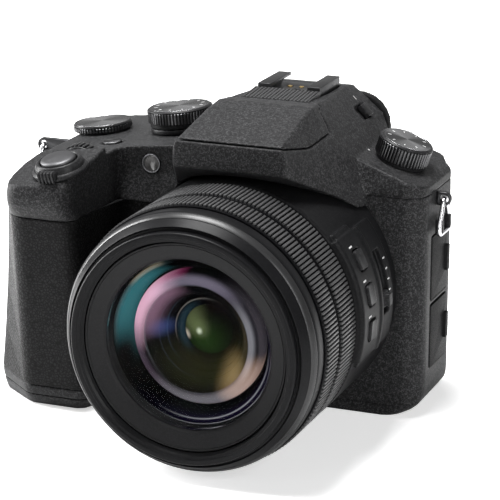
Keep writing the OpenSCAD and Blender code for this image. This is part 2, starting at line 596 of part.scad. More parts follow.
// Filter wheel: its axis above the lens axis, filter radius and wheel radius
nd_hole = 6;
nd_rim = 1.2;
nd_up = (tube_in - nd_hole - nd_rim - 1.3) / 2;
nd_r = nd_up + nd_hole + nd_rim;
module iris_unit() color("#2e2e30") difference() {
  union() {
    lens_cyl(tube_in - 0.1, iris_y, iris_y + 5);
    translate([0, 0, nd_up]) lens_cyl(1.5, iris_y - 5, iris_y + 1);
  }
  lens_axis() translate([0, 0, iris_y + 3]) cylinder(r = 15, h = 5);
  lens_axis() translate([0, 0, iris_y - 1]) cylinder(r = 7, h = 8, $fn = 9);
}

module nd_wheel() color("#3c3d40") difference() {
  translate([0, 0, nd_up]) lens_cyl(nd_r, iris_y - 4, iris_y - 1.4);
  translate([0, 0, nd_up]) lens_cyl(1.6, iris_y - 6, iris_y);
  for (t = [0:72:359]) translate([nd_up * sin(t), 0, nd_up - nd_up * cos(t)]) lens_cyl(nd_hole, iris_y - 6, iris_y);
}

module sensor_unit() color("#1d3a34") difference() {
  box([-17, tube_back - 3.2, lens_z - 14], [17, tube_back - 0.05, lens_z + 14]);
  box([-7.6, tube_back - 4, lens_z - 5.4], [7.6, tube_back - 2.4, lens_z + 5.4]);
}

module main_board() color("#15402c") difference() {
  box([-41, tube_back + 4.65, 9], [43, tube_back + 6, 68]);
  for (x = [-36, 36]) for (z = [14, 62]) translate([x, tube_back + 8, z]) rotate([90, 0, 0]) cylinder(r = 1.1, h = 8);
  box([20, tube_back + 4, 60], [30, tube_back + 8, 70]);
}

module battery() color("#303236") difference() {
  box(bat0, bat1);
  for (i = [0:3]) box([bat0[0] + 3 + 4 * i, bat0[1] + 2, bat0[2] - 1], [bat0[0] + 5.2 + 4 * i, bat0[1] + 5, bat0[2] + 0.6]);
}

module viewfinder_unit() color("#38393c") difference() {
  union() {
    box([-13.8, -10.6, seam_z + 1.2], [13.8, -7, 93.8]);
    box([-11, -7 - e, seam_z + 2], [11, body_back - 3, 92]);
    box([-13.8, body_back - 6, seam_z + 1.2], [13.8, body_back - 3, 93.8]);
  }
  box([-9, -5, seam_z + 4], [9, body_back + 5, 90]);
}

module eyepiece_lens() color("#3a4650") intersection() {
  along_y(body_back - 2.9, body_back + 6) outline([[-13.4, seam_z + 1.6, 6.4], [13.4, seam_z + 1.6, 6.4],
    [13.4, 93.4, 3], [-13.4, 93.4, 3]], 6);
  translate([0, body_back + 4 - 60, 84]) sphere(r = 60, $fn = 120);
}

module eyecup_outline(w, top, low, r) outline([[-w, low, 7], [w, low, 7], [w, top, r], [-w, top, r]], 6);
module eyecup() color("#1d1d1f") difference() {
  union() {
    along_y(body_back + 1.8, body_back + 5) eyecup_outline(eyecup_half - 0.6, eyecup_top - 1, 71, 11);
    along_y(body_back + 5 - e, body_back + eyecup_d) eyecup_outline(eyecup_half - 3.4, eyecup_top - 3.2, 72, 10);
  }
  along_y(body_back, body_back + 30) eyecup_outline(14.2, 94, seam_z + 1, 3);
  along_y(body_back + 7, body_back + 30) eyecup_outline(eyecup_half - 6.4, eyecup_top - 6.4, 75, 7);
}

module diopter_wheel() color("#232325") translate([-27, 17, 80]) rotate([0, 90, 0]) difference() {
  linear_extrude(4.4, center = true) polygon(gear(36, 3.6, 4));
  cylinder(r = 1, h = 10, center = true);
}

module hot_shoe() color("#3b3b3d") difference() {
  box([-shoe_w / 2 - 1.4, -6, shoe_z - 1], [shoe_w / 2 + 1.4, shoe_l - 6, shoe_z + shoe_h + 1]);
  box([-shoe_w / 2, -4.4, shoe_z], [shoe_w / 2, shoe_l - 5, shoe_z + shoe_h]);
  box([-shoe_lip_w / 2, -7, shoe_z], [shoe_lip_w / 2, shoe_l - 5, shoe_z + 10]);
  for (p = [[0, 2], [-4, 6], [4, 6]]) translate([p[0], p[1], shoe_z - 0.4]) cylinder(r = 1.2, h = 2);
}

module af_lamp() color("#5a2018") translate(lamp_at) rotate([-90, 0, 0]) cylinder(r = lamp_r, h = 2.2);

lug_r = 1.4;
lug_t = 1.8;
lug_h = 4.6;
lug_seat = -grip_left + 9;
lug_b = [-grip_left - 2.2, -5, grip_seam + 9.4];
// Flat eye on a stalk that runs from the hole to x
module lug(p, x) difference() {
  union() {
    box([min(p[0], x), p[1] - lug_t / 2, p[2] - lug_h / 2], [max(p[0], x), p[1] + lug_t / 2, p[2] + lug_h / 2]);
    translate(p) rotate([90, 0, 0]) cylinder(r = lug_h / 2, h = lug_t, center = true);
  }
  translate(p) rotate([90, 0, 0]) cylinder(r = lug_r, h = 5, center = true);
}
module strap_lugs() color("#b9babd") {
  lug(lug_a, body_right + e);
  lug(lug_b, lug_seat - 0.05);
}
// Three-cornered wire ring in the plane X = p[0], hung in the lug's hole: bends [y, z, angle] along the wire
bend_r = 2;
ring_lean = atan((ring_half - bend_r) / (ring_h - 2 * bend_r));
function bend(y, z, from, to) = [for (k = [0:6]) [y, z, from + (to - from) * k / 6]];
function ring_path() = concat(bend(0, -bend_r, ring_lean, 180 - ring_lean),
  bend(bend_r - ring_half, bend_r - ring_h, 180 - ring_lean, 270),
  bend(ring_half - bend_r, bend_r - ring_h, 270, 360 + ring_lean));
module strap_ring(p) color("#c4c5c8") translate(p) {
  m = 12;
  path = ring_path();
  n = len(path);
  pts = [for (q = path) for (j = [0:m - 1]) let (r = bend_r + wire_r * cos(360 * j / m))
    [wire_r * sin(360 * j / m), q[0] + r * cos(q[2]), q[1] + r * sin(q[2])]];
  skin = [for (i = [0:n - 1]) for (j = [0:m - 1])
    let (a = i * m + j, b = i * m + (j + 1) % m, c = ((i + 1) % n) * m + j, d = ((i + 1) % n) * m + (j + 1) % m)
    each [[a, d, c], [a, b, d]]];
  polyhedron(points = pts, faces = skin);
}
module strap_ring_right() strap_ring(lug_a);
module strap_ring_left() strap_ring(lug_b);

// Toothed wheel outline: n teeth between two radii.
function gear(n, r0, r1) = [for (i = [0:n - 1]) for (k = [[0, r0], [0.22, r1], [0.62, r1], [0.84, r0]])
  k[1] * [cos((i + k[0]) * 360 / n), sin((i + k[0]) * 360 / n)]];

module knurl_ring(a0, a1) difference() {
  union() {
    lens_axis() translate([0, 0, a0 + 1]) linear_extrude(a1 - a0 - 2) polygon(gear(rib_n, ring_r0, ring_r0 + rib_h));
    lens_cyl(ring_r0 + 0.1, a0, a1);
  }
  lens_cyl(tube_r + 0.08, a0 - 1, a1 + 1);
}
module zoom_ring() color("#262628") knurl_ring(y_barrel + 0.5, y_zoom);
module focus_ring() color("#262628") knurl_ring(y_zoom + 0.5, y_focus);

module fn_button(t) color("#3a3a3c") fn_frame(t) difference() {
  translate([0, 0, -2.6]) linear_extrude(2.6 + fn_h) fn_outline(0);
  translate([-20, 0, fn_h + 11.7]) rotate([0, 90, 0]) cylinder(r = 12, h = 40);
}
module fn_button_1() fn_button(fn_angles[0]);
module fn_button_2() fn_button(fn_angles[1]);
module fn_button_3() fn_button(fn_angles[2]);

module nd_slider() color("#3a3a3c") union() {
  lens_sector([[barrel_r + 0.1, nd_y + 0.5], [panel_r - 0.3, nd_y + 0.5], [panel_r - 0.3, nd_y + nd_w - 0.5],
    [barrel_r + 0.1, nd_y + nd_w - 0.5]], 0.5, 7);
  lens_sector([[panel_r - 0.3 - e, nd_y + 1.1], [panel_r + 1.4, nd_y + 1.1], [panel_r + 1.4, nd_y + nd_w - 1.1],
    [panel_r - 0.3 - e, nd_y + nd_w - 1.1]], 1.2, 6.2);
}

module shutter_button() color("#8d8e90") shutter_frame() union() {
  intersection() {
    translate([0, 0, 3.2]) cylinder(r = shutter_r, h = 4);
    translate([0, 0, 5.4 - 30]) sphere(r = 30, $fn = 120);
  }
  translate([0, 0, -4]) cylinder(r = 2, h = 8);
}

module zoom_lever() color("#38383a") shutter_frame() difference() {
  union() {
    translate([0, 0, clear]) cylinder(r = lever_r, h = 1.6);
    translate([0, 0, clear + 1.5]) cylinder(r = lever_r - 1.2, h = 2.6);
    difference() {
      box([-4.2, -lever_r - 1.6, clear], [4.2, -shutter_r - 1, 4.4]);
      for (i = [-2:2]) box([i * 1.5 - 0.3, -lever_r - 3, 0], [i * 1.5 + 0.3, -lever_r - 1, 6]);
    }
  }
  translate([0, 0, -1]) cylinder(r = shutter_r - 0.1, h = 3.2);
  translate([0, 0, 1.9]) cylinder(r = shutter_r + 0.4, h = 5);
}

module front_dial() color("#303032") translate(front_dial_at) rotate([90, 0, 0]) union() {
  linear_extrude(front_dial_w, center = true) polygon(gear(32, front_dial_r - 0.7, front_dial_r));
  cylinder(r = spindle_r - 0.5, h = front_dial_w + 6, center = true);
}

module dial(n, r, h, lift) union() {
  translate([0, 0, lift]) linear_extrude(h - 0.8) polygon(gear(n, r - 0.5, r));
  translate([0, 0, lift]) cylinder(r1 = r - 0.4, r2 = r - 0.4, h = h - 0.5);
  translate([0, 0, lift + h - 0.5 - e]) cylinder(r1 = r - 0.4, r2 = r - 0.9, h = 0.5);
  translate([0, 0, -6]) cylinder(r = spindle_r, h = 6 + lift + 1);
}
lever_t = 1.6;
module rear_dial() color("#4a4b4d") rear_dial_frame() dial(56, rear_dial_r, rear_dial_h, clear);
module mode_dial() color("#4a4b4d") mode_frame() dial(64, mode_dial_r, mode_dial_h, clear * 2 + lever_t);
module drive_dial() color("#4a4b4d") drive_frame() intersection() {
  dial(52, drive_dial_r, drive_dial_h, clear);
  translate([0, 0, -4.5]) cylinder(r = 20, h = 40);
}
module power_lever() color("#343436") mode_frame() difference() {
  union() {
    translate([0, 0, clear]) cylinder(r = mode_dial_r - 0.8, h = lever_t);
    box([-2, mode_dial_r - 2, clear], [2, mode_dial_r + 2.6, clear + lever_t + 0.8]);
  }
  translate([0, 0, -1]) cylinder(r = spindle_r + 0.1, h = 5);
  translate([0, 0, clear + lever_t]) cylinder(r = mode_dial_r + clear, h = 5);
}

module record_button() color("#9a9b9d") record_frame() union() {
  translate([0, 0, -1.2]) cylinder(r = key_r, h = 1.8);
  translate([0, 0, -5]) cylinder(r = 1.2, h = 5);
}

// Flash lid: roof of the hump in front of the shoe, hinged at its rear edge
module flash_lid() color("#2c2c2e") difference() {
  union() {
    intersection() {
      hump();
      union() {
        over_lens() along_x(-30, 30) polygon([[-hump_front, 12.8], [-hump_front + 2.4, 11.9], [-41, 9.1],
          [-22.2, 9.7], [-21.9, flash_up - flash_roll], [flash_pin[1], flash_up - flash_roll], [flash_pin[1], 25],
          [-hump_front, 25]]);
        translate(flash_pin) rotate([0, 90, 0]) cylinder(r = flash_roll, h = 60, center = true);
      }
    }
    over_lens() along_x(-13.8, 13.8) polygon([[-hump_front + 3, 12.4], [-hump_front + 3, 9.4], [-40, 7.4], [-26, 7.4],
      [-24, 12.4]]);
  }
  over_lens() along_x(-12.4, 12.4) polygon([[-hump_front + 5, 5], [-42, 5], [-42, 11.4], [-hump_front + 5, 11.4]]);
}
module flash_window() color("#c9ccd0") over_lens() along_x(-12.3, 12.3)
  polygon([[-hump_front + 5.1, 11.3], [-hump_front + 5.1, 9.6], [-42.1, 8.2], [-42.1, 11.3]]);

module flash_switch() color("#4a4a4c") switch_frame() box([-2.3, 0, -1.2], [2.3, 4.1, 0.9]);

module monitor_hinge() color("#3a3a3c") difference() {
  union() {
    translate([mon_x, mon_y, mon_z[0] + 6]) cylinder(r = monitor_pin_r, h = monitor_h - 12);
    box([mon_edge - 3, mon_y - 1.2, mon_z[0] + 10], [mon_x, mon_y + 0.6, mon_z[1] - 10]);
  }
  translate([mon_x, mon_y, mon_z[0]]) cylinder(r = 0.8, h = monitor_h);
}
module monitor_frame() color("#262628") difference() {
  along_y(mon_floor + clear, mon_floor + clear + monitor_t) outline([[mon_edge - monitor_w, mon_z[0], 3], [mon_edge, mon_z[0], 2],
    [mon_edge, mon_z[1], 2], [mon_edge - monitor_w, mon_z[1], 3]], 6);
  box([mon_edge - monitor_w + 3.9, mon_floor + clear + monitor_t - 1.6, mon_z[0] + 4.9],
    [mon_edge - 3.9, body_back + 9, mon_z[1] - 4.9]);
  box([mon_edge - 3.1, mon_y - 1.3, mon_z[0] + 9.9], [mon_x, mon_y + 0.7, mon_z[1] - 9.9]);
}
module monitor_screen() color("#0d0e12") box([mon_edge - monitor_w + 4, mon_floor + clear + monitor_t - 1.55, mon_z[0] + 5],
  [mon_edge - 4, mon_floor + clear + monitor_t - 0.2, mon_z[1] - 5]);

module key(p) color("#303032") rear_frame(p) translate([0, 0, -1.8]) cylinder(r = key_r, h = 1.8 + key_h);
module af_lock_button() color("#303032") rear_frame(key_places()[0]) translate([0, 0, -1.8])
  cylinder(r = key_r, h = 2.2 + key_h);
module focus_lever() color("#3c3c3e") rear_frame(key_places()[0]) difference() {
  union() {
    translate([0, 0, clear]) cylinder(r = key_r + 2.6, h = 0.9);
    box([-1.4, -key_r - 4.6, clear], [1.4, -key_r - 1, 2]);
  }
  translate([0, 0, -1]) cylinder(r = key_r + clear, h = 4);
}
module play_button() key(key_places()[1]);
module view_button() key(key_places()[2]);
module nav_pad() color("#303032") rear_frame(nav_at) difference() {
  translate([0, 0, -1.8]) cylinder(r = pad_r, h = 1.8 + key_h);
  translate([0, 0, -3]) cylinder(r = key_r + clear, h = 8);
}
module set_button() key(nav_at);

module battery_door() color("#2a2a2c") difference() {
  union() {
    box([hatch_x[0], hatch_y[0], hatch_up], [hatch_x[1], hatch_y[1], hatch_up + hatch_t]);
    translate([hatch_pin[0], hatch_y[0], hatch_pin[1]]) rotate([-90, 0, 0])
      cylinder(r = hatch_pin_r, h = hatch_y[1] - hatch_y[0]);
    box([hatch_x[1] - 1, hatch_y[0], hatch_up + 0.2], [hatch_pin[0], hatch_y[1], hatch_pin[1]]);
  }
  box([hatch_x[0] + 1.5, (hatch_y[0] + hatch_y[1]) / 2 - 6, -1],
    [hatch_x[0] + 9, (hatch_y[0] + hatch_y[1]) / 2 + 6, hatch_up + 1.4]);
}
module battery_latch() color("#4a4a4c") box([hatch_x[0] + 4.2, (hatch_y[0] + hatch_y[1]) / 2 - 5.6, hatch_up + 0.1],
  [hatch_x[0] + 8.6, (hatch_y[0] + hatch_y[1]) / 2 + 5.6, hatch_up + 1.1]);

module port_door_upper() color("#242426") port_door(door_a);
module port_door_lower() color("#242426") port_door(door_b);

front_case();
grip_case();
grip_rubber();
rear_case();
thumb_rubber();
top_cover();
base_cover();
tripod_socket();
chassis();
lens_tube();
inner_barrel();
filter_ring();
name_ring();
front_lens();
zoom_group();
iris_unit();
nd_wheel();
sensor_unit();
main_board();
battery();
viewfinder_unit();
eyepiece_lens();
eyecup();
diopter_wheel();
hot_shoe();
af_lamp();
strap_lugs();
strap_ring_right();
strap_ring_left();
zoom_ring();
focus_ring();
fn_button_1();
fn_button_2();
fn_button_3();
nd_slider();
shutter_button();
zoom_lever();
front_dial();
rear_dial();
mode_dial();
power_lever();
drive_dial();
record_button();
flash_lid();
flash_window();
flash_switch();
monitor_hinge();
monitor_frame();
monitor_screen();
nav_pad();
set_button();
af_lock_button();
focus_lever();
play_button();
view_button();
battery_door();
battery_latch();
port_door_upper();
port_door_lower();
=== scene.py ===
# %% [markdown]
# # Dressing a bridge camera
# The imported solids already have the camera's shapes and joints. This lesson gives them soft moulded
# edges, ribs, grain and glass. Every piece stays in the frame's own place, so nothing needs fitting.

# %% Load the frame
import json
import math

import bmesh
import bpy
from mathutils import Matrix, Vector


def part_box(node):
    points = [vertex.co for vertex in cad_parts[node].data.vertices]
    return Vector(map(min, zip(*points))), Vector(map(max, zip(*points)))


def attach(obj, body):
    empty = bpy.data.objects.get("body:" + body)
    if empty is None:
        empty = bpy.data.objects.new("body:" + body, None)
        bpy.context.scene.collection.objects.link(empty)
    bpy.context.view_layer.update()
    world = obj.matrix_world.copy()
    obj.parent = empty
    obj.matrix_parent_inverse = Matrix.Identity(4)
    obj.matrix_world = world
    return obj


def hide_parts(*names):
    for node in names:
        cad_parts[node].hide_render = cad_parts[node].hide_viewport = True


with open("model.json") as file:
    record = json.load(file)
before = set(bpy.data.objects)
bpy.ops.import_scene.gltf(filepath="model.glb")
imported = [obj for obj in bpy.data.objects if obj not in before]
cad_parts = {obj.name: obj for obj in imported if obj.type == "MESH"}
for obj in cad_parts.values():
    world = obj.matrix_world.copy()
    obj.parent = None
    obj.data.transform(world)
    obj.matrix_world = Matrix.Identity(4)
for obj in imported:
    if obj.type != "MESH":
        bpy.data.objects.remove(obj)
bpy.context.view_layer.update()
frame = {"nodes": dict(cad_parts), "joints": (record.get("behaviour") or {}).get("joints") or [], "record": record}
MM = 0.001
BODY_OF = {node: body for body, nodes in frame["record"]["behaviour"]["bodies"].items() for node in nodes}
JOINT_OF = {joint["child"]: joint for joint in frame["joints"]}

# %% [markdown]
# ## Camera
# The photograph was taken from the lens's left and a little above. A long focal length keeps the
# barrel from looking stretched. The numbers come from matching the lens circles and the body's edges.

# %% Camera
CAMERA_AT = Vector((0.2630, -0.6980, 0.2729))
CAMERA_BACK = Vector((0.3551, -0.8888, 0.2897))
FOCAL_LENGTH = 168.6
SENSOR = 36

camera_data = bpy.data.cameras.new("view_camera")
camera_data.sensor_width = SENSOR
camera_data.lens = FOCAL_LENGTH
camera = bpy.data.objects.new("view_camera", camera_data)
camera.location = CAMERA_AT
camera.rotation_euler = (-CAMERA_BACK).to_track_quat("-Z", "Y").to_euler()
bpy.context.scene.collection.objects.link(camera)
bpy.context.scene.camera = camera
bpy.context.scene.view_settings.view_transform = "Standard"
print("camera is", round((CAMERA_AT - Vector((0, -0.09, 0.0426))).length, 3), "m from the lens")

# %% [markdown]
# ## Studio
# A black product on white is drawn by its highlights. One broad lamp overhead shows the top, a strip
# on each side draws the edges of the grip and the case, and a weak world fills the rest. The camera
# and transmission rays see white and mirror rays a lighter grey, while the light that reaches the object stays at a
# plain level.

# %% Small helpers for node trees
def wire(tree, source, target):
    tree.links.new(source, target)


def add_node(tree, kind, links=None, **settings):
    """A node with its settings. Links gives inputs by name or number: a plain value or a node's output."""
    made = tree.nodes.new(kind)
    for key, value in settings.items():
        setattr(made, key, value)
    for label, value in (links or {}).items():
        if isinstance(value, bpy.types.NodeSocket):
            wire(tree, value, made.inputs[label])
        else:
            made.inputs[label].default_value = value
    return made


def math_node(tree, operation, *values):
    return add_node(tree, "ShaderNodeMath", dict(enumerate(values)), operation=operation).outputs[0]


def vector_node(tree, operation, *values):
    """The outputs of a vector operation: 0 is its vector and Value its number."""
    return add_node(tree, "ShaderNodeVectorMath", dict(enumerate(values)), operation=operation).outputs


# %% World and lamps
AIM = Vector((-0.01, -0.03, 0.05))
FILL_LEVEL = 0.05
MIRROR_LEVEL = 0.4


def white_for_sharp_rays(tree):
    """1 for rays that show the background, 0 for rays that light the object, less than 1 for mirrored rays."""
    path = add_node(tree, "ShaderNodeLightPath").outputs
    mirrored = math_node(tree, "MULTIPLY", path["Is Glossy Ray"], MIRROR_LEVEL)
    both = math_node(tree, "MAXIMUM", mirrored, path["Is Transmission Ray"])
    return math_node(tree, "MAXIMUM", path["Is Camera Ray"], both)


world = bpy.data.worlds.new("studio")
world.use_nodes = True
bpy.context.scene.world = world
sky = world.node_tree.nodes["Background"]
sky.inputs["Color"].default_value = (1, 1, 1, 1)
level = add_node(world.node_tree, "ShaderNodeMapRange", {
    "Value": white_for_sharp_rays(world.node_tree), "To Min": FILL_LEVEL, "To Max": 1.0})
wire(world.node_tree, level.outputs[0], sky.inputs["Strength"])

# name, place, width, height, power
LAMPS = [
    ("overhead", (-0.15, -0.05, 0.95), 0.50, 0.40, 17.0),
    ("left_strip", (-0.85, -0.05, 0.35), 0.16, 0.8, 16.0),
    ("right_strip", (0.62, -0.50, 0.22), 0.10, 0.8, 4.0),
    ("front_card", (-0.30, -1.00, 0.70), 0.3, 0.3, 0.6),
]
for name, place, width, height, power in LAMPS:
    data = bpy.data.lights.new(name, "AREA")
    data.shape = "RECTANGLE"
    data.size, data.size_y, data.energy = width, height, power
    lamp = bpy.data.objects.new(name, data)
    lamp.location = place
    lamp.rotation_euler = (AIM - Vector(place)).to_track_quat("-Z", "Y").to_euler()
    bpy.context.scene.collection.objects.link(lamp)
print("lamps:", [lamp[0] for lamp in LAMPS])

# %% Floor
FLOOR_HALF = 4.0
floor_mesh = bpy.data.meshes.new("floor")
corners = [(-FLOOR_HALF, -FLOOR_HALF, 0), (FLOOR_HALF, -FLOOR_HALF, 0),
           (FLOOR_HALF, FLOOR_HALF, 0), (-FLOOR_HALF, FLOOR_HALF, 0)]
floor_mesh.from_pydata(corners, [], [(0, 1, 2, 3)])
floor_object = bpy.data.objects.new("floor", floor_mesh)
floor_object.location.z = -0.0002
bpy.context.scene.collection.objects.link(floor_object)
floor_paint = bpy.data.materials.new("pale_floor")
floor_paint.use_nodes = True
floor_tree = floor_paint.node_tree
floor_bsdf = floor_tree.nodes["Principled BSDF"]
for label, value in [("Base Color", (0.9, 0.9, 0.9, 1)), ("Roughness", 0.9), ("Specular IOR Level", 0.0),
                     ("Emission Color", (1, 1, 1, 1))]:
    floor_bsdf.inputs[label].default_value = value
floor_place = add_node(floor_tree, "ShaderNodeTexCoord").outputs["Object"]
far_glow = add_node(floor_tree, "ShaderNodeMapRange", {
    "Value": vector_node(floor_tree, "LENGTH", floor_place)["Value"], "From Min": 0.35, "From Max": 1.2,
    "To Min": 0.55, "To Max": 1.0}, interpolation_type="SMOOTHSTEP")
glow = math_node(floor_tree, "MULTIPLY", white_for_sharp_rays(floor_tree), far_glow.outputs[0])
wire(floor_tree, glow, floor_bsdf.inputs["Emission Strength"])
floor_mesh.materials.append(floor_paint)
print("floor is", 2 * FLOOR_HALF, "m wide")

# %% [markdown]
# ## Surface effects
# Four effects turn up on many pieces: the speckle of textured mould steel, the grain of grip leather,
# the turning marks of a lathe with painted light and dark sectors of sheen, and slow smudges that break up
# a flat tone. Each is one node group, read in object coordinates, so that a dozen finishes can share it at their own
# scale.

# %% Shader group helper
def shader_group(name, inputs, outputs):
    tree = bpy.data.node_groups.new(name, "ShaderNodeTree")
    for label, kind, value in inputs:
        socket = tree.interface.new_socket(label, in_out="INPUT", socket_type=kind)
        if value is not None:
            socket.default_value = value
    for label, kind in outputs:
        tree.interface.new_socket(label, in_out="OUTPUT", socket_type=kind)
    return tree, add_node(tree, "NodeGroupInput"), add_node(tree, "NodeGroupOutput")


def noise(tree, vector, scale, detail=2.0, rough=0.5):
    return add_node(tree, "ShaderNodeTexNoise", {
        "Vector": vector, "Scale": scale, "Detail": detail, "Roughness": rough}).outputs[0]


def steps(tree, value, low, high):
    """Smooth 0 to 1 between two values."""
    return add_node(tree, "ShaderNodeMapRange", {"Value": value, "From Min": low, "From Max": high},
                    interpolation_type="SMOOTHSTEP").outputs[0]


# %% Mould speckle
speckle, speckle_in, speckle_out = shader_group(
    "mould_speckle",
    [("Vector", "NodeSocketVector", None), ("Grain size", "NodeSocketFloat", 0.0005)],
    [("Tone", "NodeSocketFloat"), ("Height", "NodeSocketFloat"), ("Smudge", "NodeSocketFloat")])
per_metre = math_node(speckle, "DIVIDE", 1.0, speckle_in.outputs["Grain size"])
fine = noise(speckle, speckle_in.outputs["Vector"], per_metre, 3.0, 0.6)
coarse = noise(speckle, speckle_in.outputs["Vector"], math_node(speckle, "MULTIPLY", per_metre, 0.45), 1.0)
wire(speckle, math_node(speckle, "MULTIPLY", steps(speckle, fine, 0.40, 0.68),
                        steps(speckle, coarse, 0.30, 0.62)), speckle_out.inputs["Tone"])
wire(speckle, fine, speckle_out.inputs["Height"])
wire(speckle, noise(speckle, speckle_in.outputs["Vector"], 38.0, 2.0), speckle_out.inputs["Smudge"])

# %% Leather grain
leather, leather_in, leather_out = shader_group(
    "leather_grain",
    [("Vector", "NodeSocketVector", None), ("Pebble size", "NodeSocketFloat", 0.001)],
    [("Tone", "NodeSocketFloat"), ("Height", "NodeSocketFloat")])
pebbles_per_metre = math_node(leather, "DIVIDE", 1.0, leather_in.outputs["Pebble size"])
leather_place = leather_in.outputs["Vector"]
warp = add_node(leather, "ShaderNodeTexNoise", {"Vector": leather_place, "Scale": 420.0}).outputs["Color"]
bend = vector_node(leather, "MULTIPLY_ADD", warp, (0.0009, 0.0009, 0.0009), leather_place)[0]
pebbles = add_node(leather, "ShaderNodeTexVoronoi", {"Vector": bend, "Scale": pebbles_per_metre},
                   feature="DISTANCE_TO_EDGE")
pebble_top = steps(leather, pebbles.outputs["Distance"], 0.0, 0.32)
pores = noise(leather, leather_place, 2600.0)
wire(leather, math_node(leather, "ADD", pebble_top, math_node(leather, "MULTIPLY", pores, 0.35)),
     leather_out.inputs["Height"])
wire(leather, pebble_top, leather_out.inputs["Tone"])

# %% Turning marks and painted sheen
spun, spun_in, spun_out = shader_group(
    "turning_marks_and_painted_sheen",
    [("Vector", "NodeSocketVector", None), ("Pitch", "NodeSocketFloat", 0.00025)],
    [("Tone", "NodeSocketFloat"), ("Height", "NodeSocketFloat"), ("Painted_sheen", "NodeSocketFloat")])
flat = vector_node(spun, "MULTIPLY", spun_in.outputs["Vector"], (1, 1, 0))[0]
turns = math_node(spun, "DIVIDE", vector_node(spun, "LENGTH", flat)["Value"], spun_in.outputs["Pitch"])
line = add_node(spun, "ShaderNodeTexNoise", {"W": turns, "Scale": 1.0, "Detail": 2.0}, noise_dimensions="1D")
wire(spun, line.outputs[0], spun_out.inputs["Tone"])
wire(spun, line.outputs[0], spun_out.inputs["Height"])
# Painted sheen: light and dark sectors set by the direction from the axis stand in for the highlights of spun metal.
spoke = vector_node(spun, "NORMALIZE", flat)[0]
across_spoke = vector_node(spun, "DOT_PRODUCT", spoke, (0.82, 0.57, 0.0))["Value"]
wire(spun, steps(spun, math_node(spun, "ABSOLUTE", across_spoke), 0.25, 1.0), spun_out.inputs["Painted_sheen"])
print("effects:", [g.name for g in bpy.data.node_groups])

# %% [markdown]
# ## Finishes
# Most of the camera is black, so the finishes differ in how they scatter light: satin speckled case
# plastic, leather-grained rubber, smoother lens rings, spun dial tops and plated steel. A low specular
# level keeps the blacks deep under a white room.

# %% Material helpers
def start_finish(name, color, roughness, **constants):
    material = bpy.data.materials.new(name)
    material.use_nodes = True
    tree = material.node_tree
    bsdf = tree.nodes["Principled BSDF"]
    bsdf.inputs["Base Color"].default_value = (*color, 1)
    bsdf.inputs["Roughness"].default_value = roughness
    for label, value in constants.items():
        bsdf.inputs[label.replace("_", " ")].default_value = value
    place = add_node(tree, "ShaderNodeTexCoord").outputs["Object"]
    return material, tree, bsdf, place


def use_group(tree, group, vector, **values):
    links = {label.replace("_", " "): value for label, value in values.items()}
    return add_node(tree, "ShaderNodeGroup", {"Vector": vector, **links}, node_tree=group).outputs


def between(tree, factor, a, b):
    """A colour or a number that goes from a to b with the factor."""
    if isinstance(a, tuple):
        return add_node(tree, "ShaderNodeMix", {0: factor, 6: (*a, 1), 7: (*b, 1)}, data_type="RGBA").outputs[2]
    return add_node(tree, "ShaderNodeMapRange", {"Value": factor, "To Min": a, "To Max": b}).outputs[0]


def raise_bump(tree, bsdf, height, depth, strength=1.0):
    bump = add_node(tree, "ShaderNodeBump", {"Height": height, "Strength": strength, "Distance": depth})
    wire(tree, bump.outputs[0], bsdf.inputs["Normal"])


# %% Plastics and rubber
def speckled(name, dark, light, rough, grain=0.0005, depth=0.00006, specular=0.3):
    material, tree, bsdf, place = start_finish(name, dark, rough, Specular_IOR_Level=specular)
    marks = use_group(tree, speckle, place, Grain_size=grain)
    wire(tree, between(tree, marks["Tone"], dark, light), bsdf.inputs["Base Color"])
    wire(tree, between(tree, marks["Smudge"], rough - 0.07, rough + 0.09), bsdf.inputs["Roughness"])
    raise_bump(tree, bsdf, marks["Height"], depth, 0.6)
    return material


def grained(name, dark, light, rough, pebble=0.001, depth=0.00012):
    material, tree, bsdf, place = start_finish(name, dark, rough, Specular_IOR_Level=0.06)
    marks = use_group(tree, leather, place, Pebble_size=pebble)
    wire(tree, between(tree, marks["Tone"], dark, light), bsdf.inputs["Base Color"])
    wire(tree, between(tree, marks["Tone"], rough + 0.12, rough - 0.04), bsdf.inputs["Roughness"])
    raise_bump(tree, bsdf, marks["Height"], depth, 0.7)
    return material


CASE = speckled("case_plastic", (0.014, 0.014, 0.0145), (0.066, 0.066, 0.068), 0.42, 0.00042, 0.00005, 0.07)
LID = speckled("lid_plastic", (0.015, 0.015, 0.0155), (0.068, 0.068, 0.070), 0.42, 0.00042, 0.00005, 0.07)
BARREL = speckled("barrel_plastic", (0.005, 0.005, 0.0055), (0.013, 0.013, 0.0135), 0.40, 0.0004, 0.00003, 0.08)
RIBBED = speckled("ring_plastic", (0.003, 0.003, 0.0035), (0.007, 0.007, 0.0075), 0.45, 0.0004, 0.00002, 0.02)
